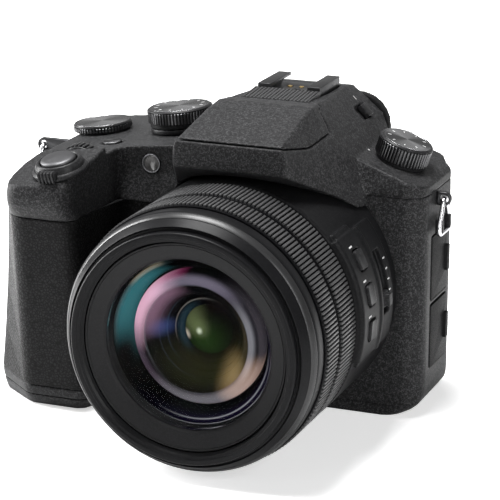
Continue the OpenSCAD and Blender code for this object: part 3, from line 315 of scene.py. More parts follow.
# The ribs are painted lighter than the ring's own black: a painted highlight where their tops catch the light.
RIB = speckled("rib_plastic_painted_highlight", (0.050, 0.050, 0.051), (0.085, 0.085, 0.087), 0.30, 0.0004, 0.00001, 0.25)
BEZEL = speckled("bezel_black", (0.005, 0.005, 0.0055), (0.010, 0.010, 0.011), 0.32, 0.0003, 0.00001, 0.08)
BEZEL_EDGE = speckled("bezel_edge", (0.012, 0.012, 0.0125), (0.020, 0.020, 0.021), 0.30, 0.0003, 0.00001, 0.35)
CONTROL = speckled("control_plastic", (0.012, 0.012, 0.0125), (0.032, 0.032, 0.034), 0.36, 0.0004, 0.00003, 0.14)
DARK = speckled("inner_black", (0.003, 0.003, 0.003), (0.006, 0.006, 0.006), 0.6, 0.0005, 0.00003, 0.05)
GRIP = grained("grip_rubber", (0.006, 0.006, 0.006), (0.018, 0.018, 0.0185), 0.38)
SOFT = grained("soft_rubber", (0.010, 0.010, 0.010), (0.016, 0.016, 0.017), 0.55, 0.0006, 0.00004)
PRINT = speckled("white_print", (0.55, 0.55, 0.55), (0.75, 0.75, 0.75), 0.5, 0.0003, 0.00001)
BOARD = speckled("circuit_board", (0.01, 0.09, 0.04), (0.02, 0.16, 0.07), 0.45, 0.001, 0.00005)


# %% Metals
def turned(name, dark, light, rough, centre, axis, pitch=0.0003, depth=0.000012):
    """Metal turned on a lathe about an axis through a point, with painted light and dark sectors of sheen."""
    material, tree, bsdf, place = start_finish(name, dark, rough, Metallic=1.0, Anisotropic=0.7)
    lean = Vector(axis).to_track_quat("Z", "Y").to_euler()
    local = add_node(tree, "ShaderNodeMapping", {"Vector": place, "Location": centre, "Rotation": lean},
                     vector_type="TEXTURE")
    marks = use_group(tree, spun, local.outputs[0], Pitch=pitch)
    lines = between(tree, marks["Tone"], dark, light)
    # painted sheen: light and dark sectors multiply the turning lines
    painted_sheen = between(tree, marks["Painted_sheen"], (0.22, 0.22, 0.22), (1.0, 1.0, 1.0))
    sectors = add_node(tree, "ShaderNodeMix", {0: 1.0, 6: lines, 7: painted_sheen}, data_type="RGBA", blend_type="MULTIPLY")
    wire(tree, sectors.outputs[2], bsdf.inputs["Base Color"])
    raise_bump(tree, bsdf, marks["Height"], depth, 0.5)
    arm = vector_node(tree, "SUBTRACT", place, centre)[0]
    wire(tree, vector_node(tree, "CROSS_PRODUCT", axis, arm)[0], bsdf.inputs["Tangent"])
    return material


def plated(name, color, rough, depth=0.00001):
    material, tree, bsdf, place = start_finish(name, color, rough, Metallic=1.0)
    marks = use_group(tree, speckle, place, Grain_size=0.0012)
    wire(tree, between(tree, marks["Smudge"], tuple(0.8 * c for c in color), color), bsdf.inputs["Base Color"])
    wire(tree, between(tree, marks["Tone"], rough, rough + 0.1), bsdf.inputs["Roughness"])
    raise_bump(tree, bsdf, marks["Height"], depth, 0.3)
    return material


KNURL = plated("knurl_metal", (0.10, 0.10, 0.103), 0.28)
CHROME = plated("chrome", (0.72, 0.72, 0.74), 0.12)
STEEL = plated("plain_steel", (0.42, 0.42, 0.43), 0.32)
BLACK_STEEL = plated("blackened_steel", (0.055, 0.055, 0.057), 0.34)
GOLD = plated("gold_contact", (0.7, 0.5, 0.2), 0.25)
BUTTON = plated("button_metal", (0.22, 0.22, 0.23), 0.36, 0.00002)
CAST = plated("cast_alloy", (0.3, 0.3, 0.31), 0.45, 0.00004)
print("finishes:", len(bpy.data.materials))

# %% [markdown]
# ## Two ways to soften a solid
# A moulded shell has rounded edges everywhere. Remeshing a copy into small voxels and smoothing it a few
# times rounds every edge alike, however the solid was cut, and collapsing the flat parts brings the face
# count down again. A small machined part keeps its crisp form better with a narrow bevel.

# %% Mesh helpers
PIECES = []


def link_object(name, mesh):
    made = bpy.data.objects.new(name, mesh)
    bpy.context.scene.collection.objects.link(made)
    return made


def to_mesh(made, name):
    """The plain mesh of a finished bmesh."""
    mesh = bpy.data.meshes.new(name)
    made.to_mesh(mesh)
    made.free()
    return mesh


def merged_copy(node, flatten=False):
    copy = bmesh.new()
    copy.from_mesh(frame["nodes"][node].data)
    bmesh.ops.remove_doubles(copy, verts=copy.verts, dist=2e-6)
    if flatten:
        bmesh.ops.dissolve_limit(copy, angle_limit=math.radians(0.6), verts=copy.verts, edges=copy.edges)
    return link_object(node + "_work", to_mesh(copy, node + "_copy"))


def modify(worker, kind, **settings):
    made = worker.modifiers.new(kind.lower(), kind)
    for key, value in settings.items():
        setattr(made, key, value)


def settle(worker):
    """The working object's final mesh, with its modifiers applied."""
    shape = worker.evaluated_get(bpy.context.evaluated_depsgraph_get())
    mesh = bpy.data.meshes.new_from_object(shape)
    bpy.data.objects.remove(worker)
    return mesh


def crisp(mesh, angle=35):
    mesh.shade_smooth()
    mesh.set_sharp_from_angle(angle=math.radians(angle))
    return mesh


def put(name, mesh, material, *nodes, body=None, slot=None):
    """Makes a finished piece that rides on a body and stands for some nodes."""
    if material is not None:
        mesh.materials.clear()
        mesh.materials.append(material)
    piece = link_object(name, mesh)
    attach(piece, body or BODY_OF[nodes[0]])
    if nodes:
        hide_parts(*nodes)
    PIECES.append(piece)
    return piece


def moulded(node, material, voxel=0.5, rounds=6, keep=0.4):
    worker = merged_copy(node)
    modify(worker, "REMESH", mode="VOXEL", voxel_size=voxel * MM * 1.0)
    modify(worker, "SMOOTH", factor=0.5, iterations=rounds)
    modify(worker, "DECIMATE", ratio=keep)
    mesh = settle(worker)
    mesh.shade_smooth()
    return put(node + "_moulded", mesh, material, node)


def machined(node, material, edge=0.25, steps_round=2):
    worker = merged_copy(node, flatten=True)
    modify(worker, "BEVEL", width=edge * MM, segments=steps_round, limit_method="ANGLE", angle_limit=math.radians(40))
    return put(node + "_machined", crisp(settle(worker), 38), material, node)


# %% [markdown]
# ## The case
# The shell is five mouldings that meet at thin joints, plus the flash roof. They are all the same
# speckled plastic. The grip wears a skin of leather-grained rubber.

# %% Case mouldings
for node, material in [("front_case", CASE), ("grip_case", CASE), ("rear_case", CASE), ("top_cover", CASE),
                       ("base_cover", CASE), ("flash_lid", LID)]:
    made = moulded(node, material)
    print(made.name, len(made.data.polygons))

# %% Rubber skins
for node, material in [("grip_rubber", GRIP), ("thumb_rubber", GRIP), ("eyecup", SOFT)]:
    made = moulded(node, material, 0.45)
    print(made.name, len(made.data.polygons))

# %% [markdown]
# ## What repeats
# Ribs, knurls, ticks, screws and sound holes are one small shape set round a circle or over a grid.
# Two Geometry Nodes trees do this: each takes the shape as an object, makes the points, puts a copy on
# each point and realises the copies, so that the result is a plain mesh.

# %% Geometry Nodes trees
def geometry_tree(name, inputs):
    tree = bpy.data.node_groups.new(name, "GeometryNodeTree")
    for label, kind in inputs:
        tree.interface.new_socket(label, in_out="INPUT", socket_type=kind)
    tree.interface.new_socket("Geometry", in_out="OUTPUT", socket_type="NodeSocketGeometry")
    return tree, add_node(tree, "NodeGroupInput"), add_node(tree, "NodeGroupOutput")


def copies_on(tree, points, given, result, turn=(0, 0, 0)):
    """Copies of the given shape on the points, made real and painted."""
    shape = add_node(tree, "GeometryNodeObjectInfo", {"Object": given.outputs["Shape"]}).outputs["Geometry"]
    copies = add_node(tree, "GeometryNodeInstanceOnPoints", {"Points": points, "Instance": shape, "Rotation": turn})
    real = add_node(tree, "GeometryNodeRealizeInstances", {0: copies.outputs[0]})
    paint = add_node(tree, "GeometryNodeSetMaterial", {
        "Geometry": real.outputs[0], "Material": given.outputs["Material"]})
    wire(tree, paint.outputs[0], result.inputs["Geometry"])


ring_tree, ring_in, ring_out = geometry_tree(
    "copies_round_a_circle",
    [("Shape", "NodeSocketObject"), ("Count", "NodeSocketInt"), ("Radius", "NodeSocketFloat"),
     ("Material", "NodeSocketMaterial")])
circle = add_node(ring_tree, "GeometryNodeMeshCircle", {
    "Vertices": ring_in.outputs["Count"], "Radius": ring_in.outputs["Radius"]})
one_step = math_node(ring_tree, "DIVIDE", 2 * math.pi, ring_in.outputs["Count"])
place_on_circle = add_node(ring_tree, "GeometryNodeInputIndex").outputs[0]
spin = add_node(ring_tree, "ShaderNodeCombineXYZ", {"Z": math_node(ring_tree, "MULTIPLY", place_on_circle, one_step)})
copies_on(ring_tree, circle.outputs["Mesh"], ring_in, ring_out, spin.outputs[0])

grid_tree, grid_in, grid_out = geometry_tree(
    "copies_on_a_grid",
    [("Shape", "NodeSocketObject"), ("Columns", "NodeSocketInt"), ("Rows", "NodeSocketInt"),
     ("Width", "NodeSocketFloat"), ("Height", "NodeSocketFloat"), ("Material", "NodeSocketMaterial")])
grid = add_node(grid_tree, "GeometryNodeMeshGrid", {
    "Size X": grid_in.outputs["Width"], "Size Y": grid_in.outputs["Height"],
    "Vertices X": grid_in.outputs["Columns"], "Vertices Y": grid_in.outputs["Rows"]})
copies_on(grid_tree, grid.outputs["Mesh"], grid_in, grid_out)
print("trees:", ring_tree.name, grid_tree.name)


# %% Shapes to copy, and how a tree is run
def rounded_bar(length_x, length_y, length_z, edge, rounds=1):
    """A bar in mm on the origin, with softened edges."""
    made = bmesh.new()
    bmesh.ops.create_cube(made, size=1.0)
    bmesh.ops.scale(made, verts=made.verts, vec=(length_x * MM, length_y * MM, length_z * MM))
    bmesh.ops.bevel(made, geom=made.edges[:], offset=edge * MM, segments=rounds, affect="EDGES", profile=0.5)
    return to_mesh(made, "bar")


def placed(mesh, place, material):
    mesh.transform(place)
    mesh.materials.clear()
    mesh.materials.append(material)
    return mesh


def grow(tree, shape_mesh, place, material, **values):
    """Runs a tree on a shape and returns the mesh in its place."""
    shape = link_object("shape", shape_mesh)
    host = link_object("host", bpy.data.meshes.new("host"))
    modifier = host.modifiers.new("grow", "NODES")
    modifier.node_group = tree
    values.update(Shape=shape, Material=material)
    for item in tree.interface.items_tree:
        if item.in_out == "INPUT":
            modifier[item.identifier] = values[item.name]
    mesh = placed(settle(host), place, material)
    bpy.data.objects.remove(shape)
    mesh.polygons.foreach_set("material_index", [0] * len(mesh.polygons))
    return mesh


def joined(*meshes):
    """One mesh from several, keeping each one's first material."""
    whole = bmesh.new()
    materials = []
    for mesh in meshes:
        first = len(whole.faces)
        whole.from_mesh(mesh)
        whole.faces.ensure_lookup_table()
        if mesh.materials[0] not in materials:
            materials.append(mesh.materials[0])
        for face in whole.faces[first:]:
            face.material_index = materials.index(mesh.materials[0])
    result = to_mesh(whole, "joined")
    for material in materials:
        result.materials.append(material)
    return result


# %% Turned shapes
def eased(points, arc=4):
    """An outline of (radius, along, fillet) points with its corners rounded."""
    result = []
    count = len(points)
    for i, (x, y, fillet) in enumerate(points):
        here = Vector((x, y))
        if fillet == 0:
            result.append(here)
            continue
        before = (Vector(points[i - 1][:2]) - here)
        after = (Vector(points[(i + 1) % count][:2]) - here)
        reach = min(fillet, 0.45 * before.length, 0.45 * after.length)
        start, end = here + before.normalized() * reach, here + after.normalized() * reach
        for k in range(arc + 1):
            t = k / arc
            result.append(start * (1 - t) ** 2 + here * 2 * t * (1 - t) + end * t * t)
    return result


def lathe(points, place, material, turns=192, arc=4):
    """A closed outline in mm turned round the Z axis of a place."""
    outline = eased(points, arc)
    count = len(outline)
    made = bmesh.new()
    rings = [[made.verts.new((p.x * MM * math.cos(a), p.x * MM * math.sin(a), p.y * MM)) for p in outline]
             for a in (2 * math.pi * j / turns for j in range(turns))]
    for j in range(turns):
        for i in range(count):
            k, m = (i + 1) % count, (j + 1) % turns
            made.faces.new((rings[j][i], rings[m][i], rings[m][k], rings[j][k]))
    bmesh.ops.remove_doubles(made, verts=made.verts, dist=1e-7)
    bmesh.ops.recalc_face_normals(made, faces=made.faces)
    return crisp(placed(to_mesh(made, "turned"), place, material))


def dome_points(radius, top, drop, arc, first=1):
    """Points of a shallow dome in mm, from its edge to its top."""
    return [(radius * (1 - k / arc), top - drop * (1 - k / arc) ** 2, 0) for k in range(first, arc + 1)]


def frame_at(place, axis, side=(1, 0, 0)):
    """A matrix with its origin at a place, Z along an axis and X near a side direction."""
    z = Vector(axis).normalized()
    y = z.cross(Vector(side)).normalized()
    x = y.cross(z)
    return Matrix.Translation(place) @ Matrix((x, y, z)).transposed().to_4x4()


# %% [markdown]
# ## The lens
# The barrel is the biggest thing in the picture. Its rings are turned parts, so their outlines go on a
# lathe, and about 190 fine ribs run round each grip ring. The front ring carries a filter thread, then
# a plain sloped ring, then the glass.

# %% Lens measures
def reach_of(node):
    """How far in front of the tripod axis a lens node starts and ends, in mm."""
    low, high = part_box(node)
    return -high.y / MM, -low.y / MM


def radius_of(node):
    """Half of a node's width, in mm."""
    low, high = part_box(node)
    return (high.x - low.x) / 2 / MM


def middle_of(node):
    low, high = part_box(node)
    return (low + high) / 2


LENS_Z = middle_of("filter_ring").z
LENS = frame_at((0, 0, LENS_Z), (0, -1, 0))
TIP = reach_of("filter_ring")[1]
RIM_R = radius_of("filter_ring")
RIB_COUNT = 190
print("lens axis at", round(LENS_Z, 4), "m, tip at", round(TIP, 2), "mm, rim radius", round(RIM_R, 2), "mm")

# %% Ribbed rings
for node, margin in [("zoom_ring", 0.9), ("focus_ring", 1.3)]:
    start, end = reach_of(node)
    outer = radius_of(node)
    inner, valley, lip = outer - 3.1, outer - 0.75, outer - 0.5
    core = lathe([(inner, start, 0.2), (lip, start, 0.3), (lip, start + margin - 0.2, 0.2),
                  (valley, start + margin, 0.1), (valley, end - margin, 0.1), (lip, end - margin + 0.2, 0.2),
                  (lip, end, 0.3), (inner, end, 0.2)], LENS, RIBBED)
    rib = rounded_bar(1.3, 0.80, end - start - 2 * margin - 0.3, 0.22, 2)
    middle = Matrix.Translation((0, 0, (start + end) / 2 * MM))
    # the ribs take the lighter rib finish, a painted highlight
    ribs = grow(ring_tree, rib, LENS @ middle, RIB, Count=RIB_COUNT, Radius=(outer - 0.65) * MM)
    made = put(node + "_ribbed", joined(core, crisp(ribs, 30)), None, node)
    print(made.name, len(made.data.polygons))

# %% Front ring with its thread
THREAD_R = 33.5
THREAD_PITCH = 0.75
groove = [(THREAD_R + 0.35 * (k % 2), TIP - 0.5 - THREAD_PITCH / 2 * k, 0) for k in range(6)]
bezel_start = reach_of("filter_ring")[0]
front_ring = lathe(
    [(THREAD_R - 0.4, bezel_start, 0), (RIM_R - 5.5, bezel_start, 0.3), (RIM_R - 5.5, bezel_start + 5, 0.2),
     (RIM_R, bezel_start + 5, 0.3), (RIM_R, TIP - 8.0, 0.9), (RIM_R - 0.9, TIP - 6.2, 0.9),
     (RIM_R - 3.4, TIP - 2.0, 0.5), (RIM_R - 3.7, TIP - 2.9, 0.15), (RIM_R - 4.6, TIP - 2.9, 0.15),
     (RIM_R - 4.6, TIP - 0.5, 0.3), (RIM_R - 5.1, TIP, 0.35), (THREAD_R + 1.1, TIP, 0.3),
     (THREAD_R + 0.8, TIP - 0.35, 0.1)] + groove
    + [(THREAD_R, TIP - 2.6, 0), (THREAD_R - 0.4, TIP - 2.9, 0)], LENS, BEZEL)
bezel_edge = lathe([(RIM_R - 2.2, TIP - 6.6, 0.2), (RIM_R - 0.9, TIP - 7.6, 0.3), (RIM_R - 0.1, TIP - 7.3, 0.5),
                    (RIM_R - 0.7, TIP - 5.9, 0.6), (RIM_R - 1.5, TIP - 5.0, 0.3)], LENS, BEZEL_EDGE)
put("front_ring", joined(front_ring, bezel_edge), None, "filter_ring")
print("front ring faces:", len(front_ring.polygons))

# %% Sloped ring in front of the glass
GLASS_R = radius_of("front_lens")
ring_start, ring_end = reach_of("name_ring")
SLOPED = speckled("sloped_ring_black", (0.013, 0.013, 0.0135), (0.020, 0.020, 0.021), 0.46, 0.0003, 0.00001, 0.08)
sloped_ring = lathe(
    [(GLASS_R - 1.6, ring_start, 0), (THREAD_R - 0.5, ring_start, 0.2), (THREAD_R - 0.5, ring_end - 1.6, 0.2),
     (THREAD_R - 0.9, ring_end - 1.2, 0.1), (THREAD_R - 0.9, ring_end, 0.15), (THREAD_R - 1.3, ring_end - 0.05, 0.1),
     (THREAD_R - 1.5, ring_end - 0.3, 0.05), (THREAD_R - 1.7, ring_end - 0.15, 0.05),
     (GLASS_R + 1.0, ring_end - 2.0, 0.2), (GLASS_R + 0.25, ring_end - 2.9, 0.2),
     (GLASS_R + 0.2, ring_start + 2, 0), (GLASS_R - 1.6, ring_start + 2, 0)], LENS, SLOPED)
put("sloped_ring", sloped_ring, None, "name_ring")
print("sloped ring faces:", len(sloped_ring.polygons))

# %% [markdown]
# ## The glass
# A lens with coatings looks dark with coloured crescents. Seen through the clear front element there is a
# funnel of black rings and smaller elements, each deeper than the last, so the circles slide apart as the
# view changes. The crescents are painted reflections, soft patches of faint emission set by angle and
# distance from the axis, with a painted highlight on the smallest element; they glow even without light.

# %% Painted reflection patch group
patch, patch_in, patch_out = shader_group(
    "painted_reflection_patch",
    [("Vector", "NodeSocketVector", None), ("Toward", "NodeSocketVector", (1, 0, 0)),
     ("Width", "NodeSocketFloat", 0.5), ("Inner", "NodeSocketFloat", 0.0), ("Outer", "NodeSocketFloat", 0.02)],
    [("Mask", "NodeSocketFloat")])
flat_place = vector_node(patch, "MULTIPLY", patch_in.outputs["Vector"], (1, 0, 1))[0]
outward = vector_node(patch, "NORMALIZE", flat_place)[0]
facing = vector_node(patch, "DOT_PRODUCT", outward, patch_in.outputs["Toward"])["Value"]
side_mask = steps(patch, facing, math_node(patch, "SUBTRACT", 1.0, patch_in.outputs["Width"]), 1.0)
distance = vector_node(patch, "LENGTH", flat_place)["Value"]
band = math_node(patch, "SUBTRACT", patch_in.outputs["Outer"], patch_in.outputs["Inner"])
across = math_node(patch, "DIVIDE", math_node(patch, "SUBTRACT", distance, patch_in.outputs["Inner"]), band)
from_ridge = math_node(patch, "SUBTRACT", math_node(patch, "MULTIPLY", across, 2.0), 1.0)
hill = math_node(patch, "SUBTRACT", 1.0, math_node(patch, "ABSOLUTE", from_ridge))
wire(patch, math_node(patch, "MULTIPLY", steps(patch, hill, 0.0, 0.8), side_mask), patch_out.inputs["Mask"])

# %% Painted reflection spot group
spot, spot_in, spot_out = shader_group(
    "painted_reflection_spot",
    [("Vector", "NodeSocketVector", None), ("Centre", "NodeSocketVector", (0, 0, 0)),
     ("Radius", "NodeSocketFloat", 0.002)],
    [("Mask", "NodeSocketFloat")])
spot_place = vector_node(spot, "MULTIPLY", spot_in.outputs["Vector"], (1, 0, 1))[0]
away = vector_node(spot, "DISTANCE", spot_place, spot_in.outputs["Centre"])["Value"]
nearness = math_node(spot, "SUBTRACT", 1.0, math_node(spot, "DIVIDE", away, spot_in.outputs["Radius"]))
wire(spot, steps(spot, nearness, 0.0, 1.0), spot_out.inputs["Mask"])
print("painted_reflection groups:", patch.name, spot.name)


# %% Glass with painted reflections
def add_glow(tree, total, mask, color):
    """Add a colour where the mask is light, and give the new sum."""
    glow_color = between(tree, mask, (0.0, 0.0, 0.0), color)
    if total is None:
        return glow_color
    return add_node(tree, "ShaderNodeMix", {0: 1.0, 6: total, 7: glow_color}, data_type="RGBA",
                    blend_type="ADD").outputs[2]


def glass_with_painted_reflections(name, bands, spots=(), rough=0.12):
    """Black glass with painted reflections that glow as emission: bands (colour, angle, width, inner mm, outer mm)
    and spots (colour, x mm, z mm, radius mm).
    """
    material, tree, bsdf, place = start_finish(name, (0.0003, 0.0003, 0.0004), rough, Specular_IOR_Level=0.0)
    centred = vector_node(tree, "SUBTRACT", place, (0, 0, LENS_Z))[0]
    total = None
    for color, angle, width, inner, outer in bands:
        toward = (math.cos(math.radians(angle)), 0, math.sin(math.radians(angle)))
        mask = use_group(tree, patch, centred, Toward=toward, Width=width, Inner=inner * MM, Outer=outer * MM)["Mask"]
        total = add_glow(tree, total, mask, color)
    for color, x, z, radius in spots:
        mask = use_group(tree, spot, centred, Centre=(x * MM, 0, z * MM), Radius=radius * MM)["Mask"]
        total = add_glow(tree, total, mask, color)
    # the painted reflections glow as emission, though no lamp lights them
    wire(tree, total, bsdf.inputs["Emission Color"])
    bsdf.inputs["Emission Strength"].default_value = 1.0
    return material


# Painted reflections, glowing as emission: teal and pink crescents, pale arcs on the funnel's lips, gold and blue
# patches, and a painted highlight, the small pale spot on the core.
FUNNEL_PAINTED_REFLECTIONS = glass_with_painted_reflections("funnel_painted_reflections", [
    ((0.030, 0.135, 0.150), 150, 0.28, 21.6, 26.0), ((0.015, 0.060, 0.068), 163, 0.30, 19.5, 23.4),
    ((0.030, 0.050, 0.052), 150, 0.34, 24.6, 26.2), ((0.14, 0.11, 0.07), 127, 0.05, 24.4, 26.6),
    ((0.16, 0.16, 0.17), -62, 0.70, 25.7, 26.4), ((0.20, 0.20, 0.21), -58, 0.55, 24.2, 24.9),
    ((0.004, 0.003, 0.011), -50, 1.0, 23.0, 26.4)])
RING_PAINTED_REFLECTIONS = glass_with_painted_reflections("ring_painted_reflections", [
    ((0.40, 0.235, 0.30), 152, 0.36, 14.0, 24.5), ((0.30, 0.16, 0.21), 150, 0.16, 16.0, 23.5),
    ((0.11, 0.012, 0.045), 114, 0.05, 18.6, 23.0), ((0.120, 0.105, 0.140), 97, 0.55, 16.2, 20.9),
    ((0.030, 0.028, 0.035), 45, 0.9, 16.6, 20.8), ((0.17, 0.17, 0.18), 4, 0.34, 16.4, 19.8),
    ((0.27, 0.17, 0.115), -38, 0.16, 15.5, 23.5), ((0.135, 0.128, 0.140), -76, 0.62, 16.2, 22.2),
    ((0.050, 0.036, 0.050), -160, 0.45, 16.6, 22.0), ((0.040, 0.035, 0.042), -10, 0.9, 19.8, 21.8)])
BOWL_PAINTED_REFLECTIONS = glass_with_painted_reflections("bowl_painted_reflections", [
    ((0.19, 0.105, 0.150), 146, 0.32, 12.2, 22.4), ((0.030, 0.024, 0.012), -15, 0.50, 12.6, 18.2),
    ((0.05, 0.05, 0.055), 150, 1.1, 16.5, 17.2), ((0.016, 0.021, 0.032), -170, 1.2, 13.7, 14.0),
    ((0.13, 0.125, 0.11), 138, 0.75, 10.05, 10.5), ((0.025, 0.040, 0.055), 178, 0.5, 12.2, 12.5),
    ((0.008, 0.022, 0.031), 172, 0.65, 7.4, 10.2), ((0.011, 0.012, 0.003), -80, 1.2, 6.5, 18.0)],
    [((0.20, 0.135, 0.058), 11.6, -10.8, 8.6), ((0.022, 0.038, 0.115), -13.2, 0.8, 4.2)])
CORE_PAINTED_REFLECTIONS = glass_with_painted_reflections("core_painted_reflections", [
    ((0.012, 0.012, 0.006), 150, 2.2, 3.55, 3.95)],
    [((0.080, 0.098, 0.040), -4.2, 3.0, 6.4), ((0.010, 0.028, 0.004), 0.0, -2.5, 9.5),
     ((0.50, 0.54, 0.44), -1.5, 0.5, 1.5), ((0.42, 0.37, 0.30), -6.8, -2.0, 2.3),
     ((0.06, 0.07, 0.035), -0.8, 1.0, 4.0)])
print("painted_reflection_sets: 4")

# %% Funnel and elements
zoom_start, zoom_end = reach_of("zoom_group")
funnel_foot = zoom_end - 2.0
funnel = lathe([(GLASS_R - 0.8, ring_start + 2.2, 0.1), (GLASS_R - 0.5, ring_start + 4.4, 0.1),
                (GLASS_R - 0.8, ring_start + 4.5, 0.1), (GLASS_R - 1.2, ring_start + 4.0, 0.1),
                (GLASS_R - 1.9, ring_start + 3.9, 0.1), (GLASS_R - 2.2, ring_start + 4.0, 0.1),
                (GLASS_R - 2.6, ring_start + 3.2, 0.3), (21.9, funnel_foot, 0.1), (22.7, funnel_foot - 0.2, 0.1),
                (GLASS_R - 2.0, ring_start + 1.4, 0.1)], LENS, FUNNEL_PAINTED_REFLECTIONS)
put("lens_funnel", funnel, None, body="camera_body", slot="ring_plastic")
cell_r = radius_of("zoom_group")
cell_front = zoom_end + 3.6
cell = lathe([(16.9, zoom_start - 1, 0.1), (cell_r, zoom_start, 0.2), (cell_r, zoom_start + 4.4, 0.3),
              (21.2, zoom_start + 6.0, 0.2), (21.2, zoom_end - 1.4, 0.1), (17.2, zoom_end - 3.0, 0.1)], LENS, DARK)
ring_element = lathe([(16.9, cell_front - 5.4, 0.1), (21.3, cell_front - 5.6, 0.1), (21.35, cell_front - 3.2, 0.8),
                      (20.4, cell_front - 1.5, 1.2), (18.6, cell_front - 0.1, 1.0), (17.3, cell_front, 0.25),
                      (17.05, cell_front - 0.5, 0.1)], LENS, RING_PAINTED_REFLECTIONS)
bowl_element = lathe([(7.4, cell_front - 12.6, 0), (12.0, cell_front - 11.0, 0), (17.1, cell_front - 5.0, 0),
                      (17.0, cell_front - 0.7, 0.1), (15.8, cell_front - 2.2, 1.0), (13.9, cell_front - 5.0, 0.1),
                      (13.7, cell_front - 5.0, 0.1), (12.5, cell_front - 7.6, 0.1), (12.1, cell_front - 7.7, 0.1),
                      (10.6, cell_front - 9.6, 0.1), (10.3, cell_front - 9.3, 0.1), (10.0, cell_front - 9.6, 0.1),
                      (9.4, cell_front - 10.6, 0.2), (7.9, cell_front - 11.2, 0.1)], LENS, BOWL_PAINTED_REFLECTIONS)
core_edge = cell_front - 11.1
core_element = lathe([(0.0, core_edge - 1.0, 0), (7.75, core_edge - 1.0, 0.1)]
                     + dome_points(7.75, core_edge + 4.2, 4.2, 14, 0), LENS, CORE_PAINTED_REFLECTIONS, 128)
put("lens_cell", joined(cell, ring_element, bowl_element, core_element), None, "zoom_group")
print("elements in the cell: 3, front at", round(cell_front, 2), "mm")

# %% Front glass
CLEAR, clear_tree, clear_bsdf, clear_place = start_finish(
    "coated_glass", (0.96, 0.97, 1.0), 0.0, Transmission_Weight=1.0, IOR=1.06)
clear_marks = use_group(clear_tree, speckle, clear_place, Grain_size=0.004)
wire(clear_tree, between(clear_tree, clear_marks["Smudge"], 0.0, 0.02), clear_bsdf.inputs["Roughness"])
glass_end = reach_of("front_lens")[1]
DOME = 2.5
glass_back = dome_points(GLASS_R, glass_end - 2.0, DOME - 0.5, 14, 0)[::-1]
glass = lathe(glass_back + [(GLASS_R, glass_end - DOME - 0.1, 0)] + dome_points(GLASS_R, glass_end, DOME, 14),
              LENS, CLEAR)
put("front_glass", glass, None, "front_lens")
print("glass radius", round(GLASS_R, 2), "mm")

# %% Lens barrel, panel keys and slider
made = moulded("lens_tube", BARREL, 0.4, 4, 0.35)
print(made.name, len(made.data.polygons))
for node in ["fn_button_1", "fn_button_2", "fn_button_3", "nd_slider"]:
    machined(node, CONTROL, 0.3)

# %% Panel marks
barrel_piece = bpy.data.objects["lens_tube_moulded"]
bpy.context.view_layer.update()


def printed_dash(surface, start, toward, side, long, wide):
    """A printed dash in mm where a line from start meets a piece."""
    hit, place, normal, index = surface.ray_cast(start, toward)
    return placed(rounded_bar(long, wide, 0.06, 0.02), frame_at(place, normal, side), PRINT)


def panel_mark(angle, reach, long, wide):
    """A dash on the lens panel: angle round the lens, reach along it in mm, and its size in mm."""
    outward = Vector((math.cos(math.radians(angle)), 0, math.sin(math.radians(angle))))
    start = Vector((0, -reach * MM, LENS_Z)) + outward * 0.08
    return printed_dash(barrel_piece, start, -outward, (0, 1, 0), wide, long)


key_marks = []
for node in ["fn_button_1", "fn_button_2", "fn_button_3"]:
    middle = middle_of(node)
    turn = math.degrees(math.atan2(middle.z - LENS_Z, middle.x))
    key_marks.append(panel_mark(turn + 6.4, -middle.y / MM + 2.4, 0.55, 2.4))
tick_reach = reach_of("nd_slider")[0] - 1.6
for angle in (20, 15.5, 11, 6.5, 2):
    key_marks.append(panel_mark(angle, tick_reach, 0.45, 1.6))
put("panel_marks", joined(*key_marks), None, body="camera_body", slot="button_metal")
print("panel marks:", len(key_marks))

# %% [markdown]
# ## The top controls
# The dials are turned metal with a coarse knurl and a spun top with painted light and dark sectors of
# sheen. The shutter button is a satin dome in the middle of the zoom lever's stepped ring. Each is built in its
# joint's own frame, so that it turns about the right line.

# %% Dials
def joint_frame(body, side=(1, 0, 0)):
    joint = JOINT_OF[body]
    return frame_at(joint["pos_m"], joint["axis"], side)


def height_range(node, place):
    """Lowest and highest point of a node along the Z axis of a place, in mm."""
    inverse = place.inverted()
    along = [(inverse @ v.co).z for v in frame["nodes"][node].data.vertices]
    return min(along) / MM, max(along) / MM


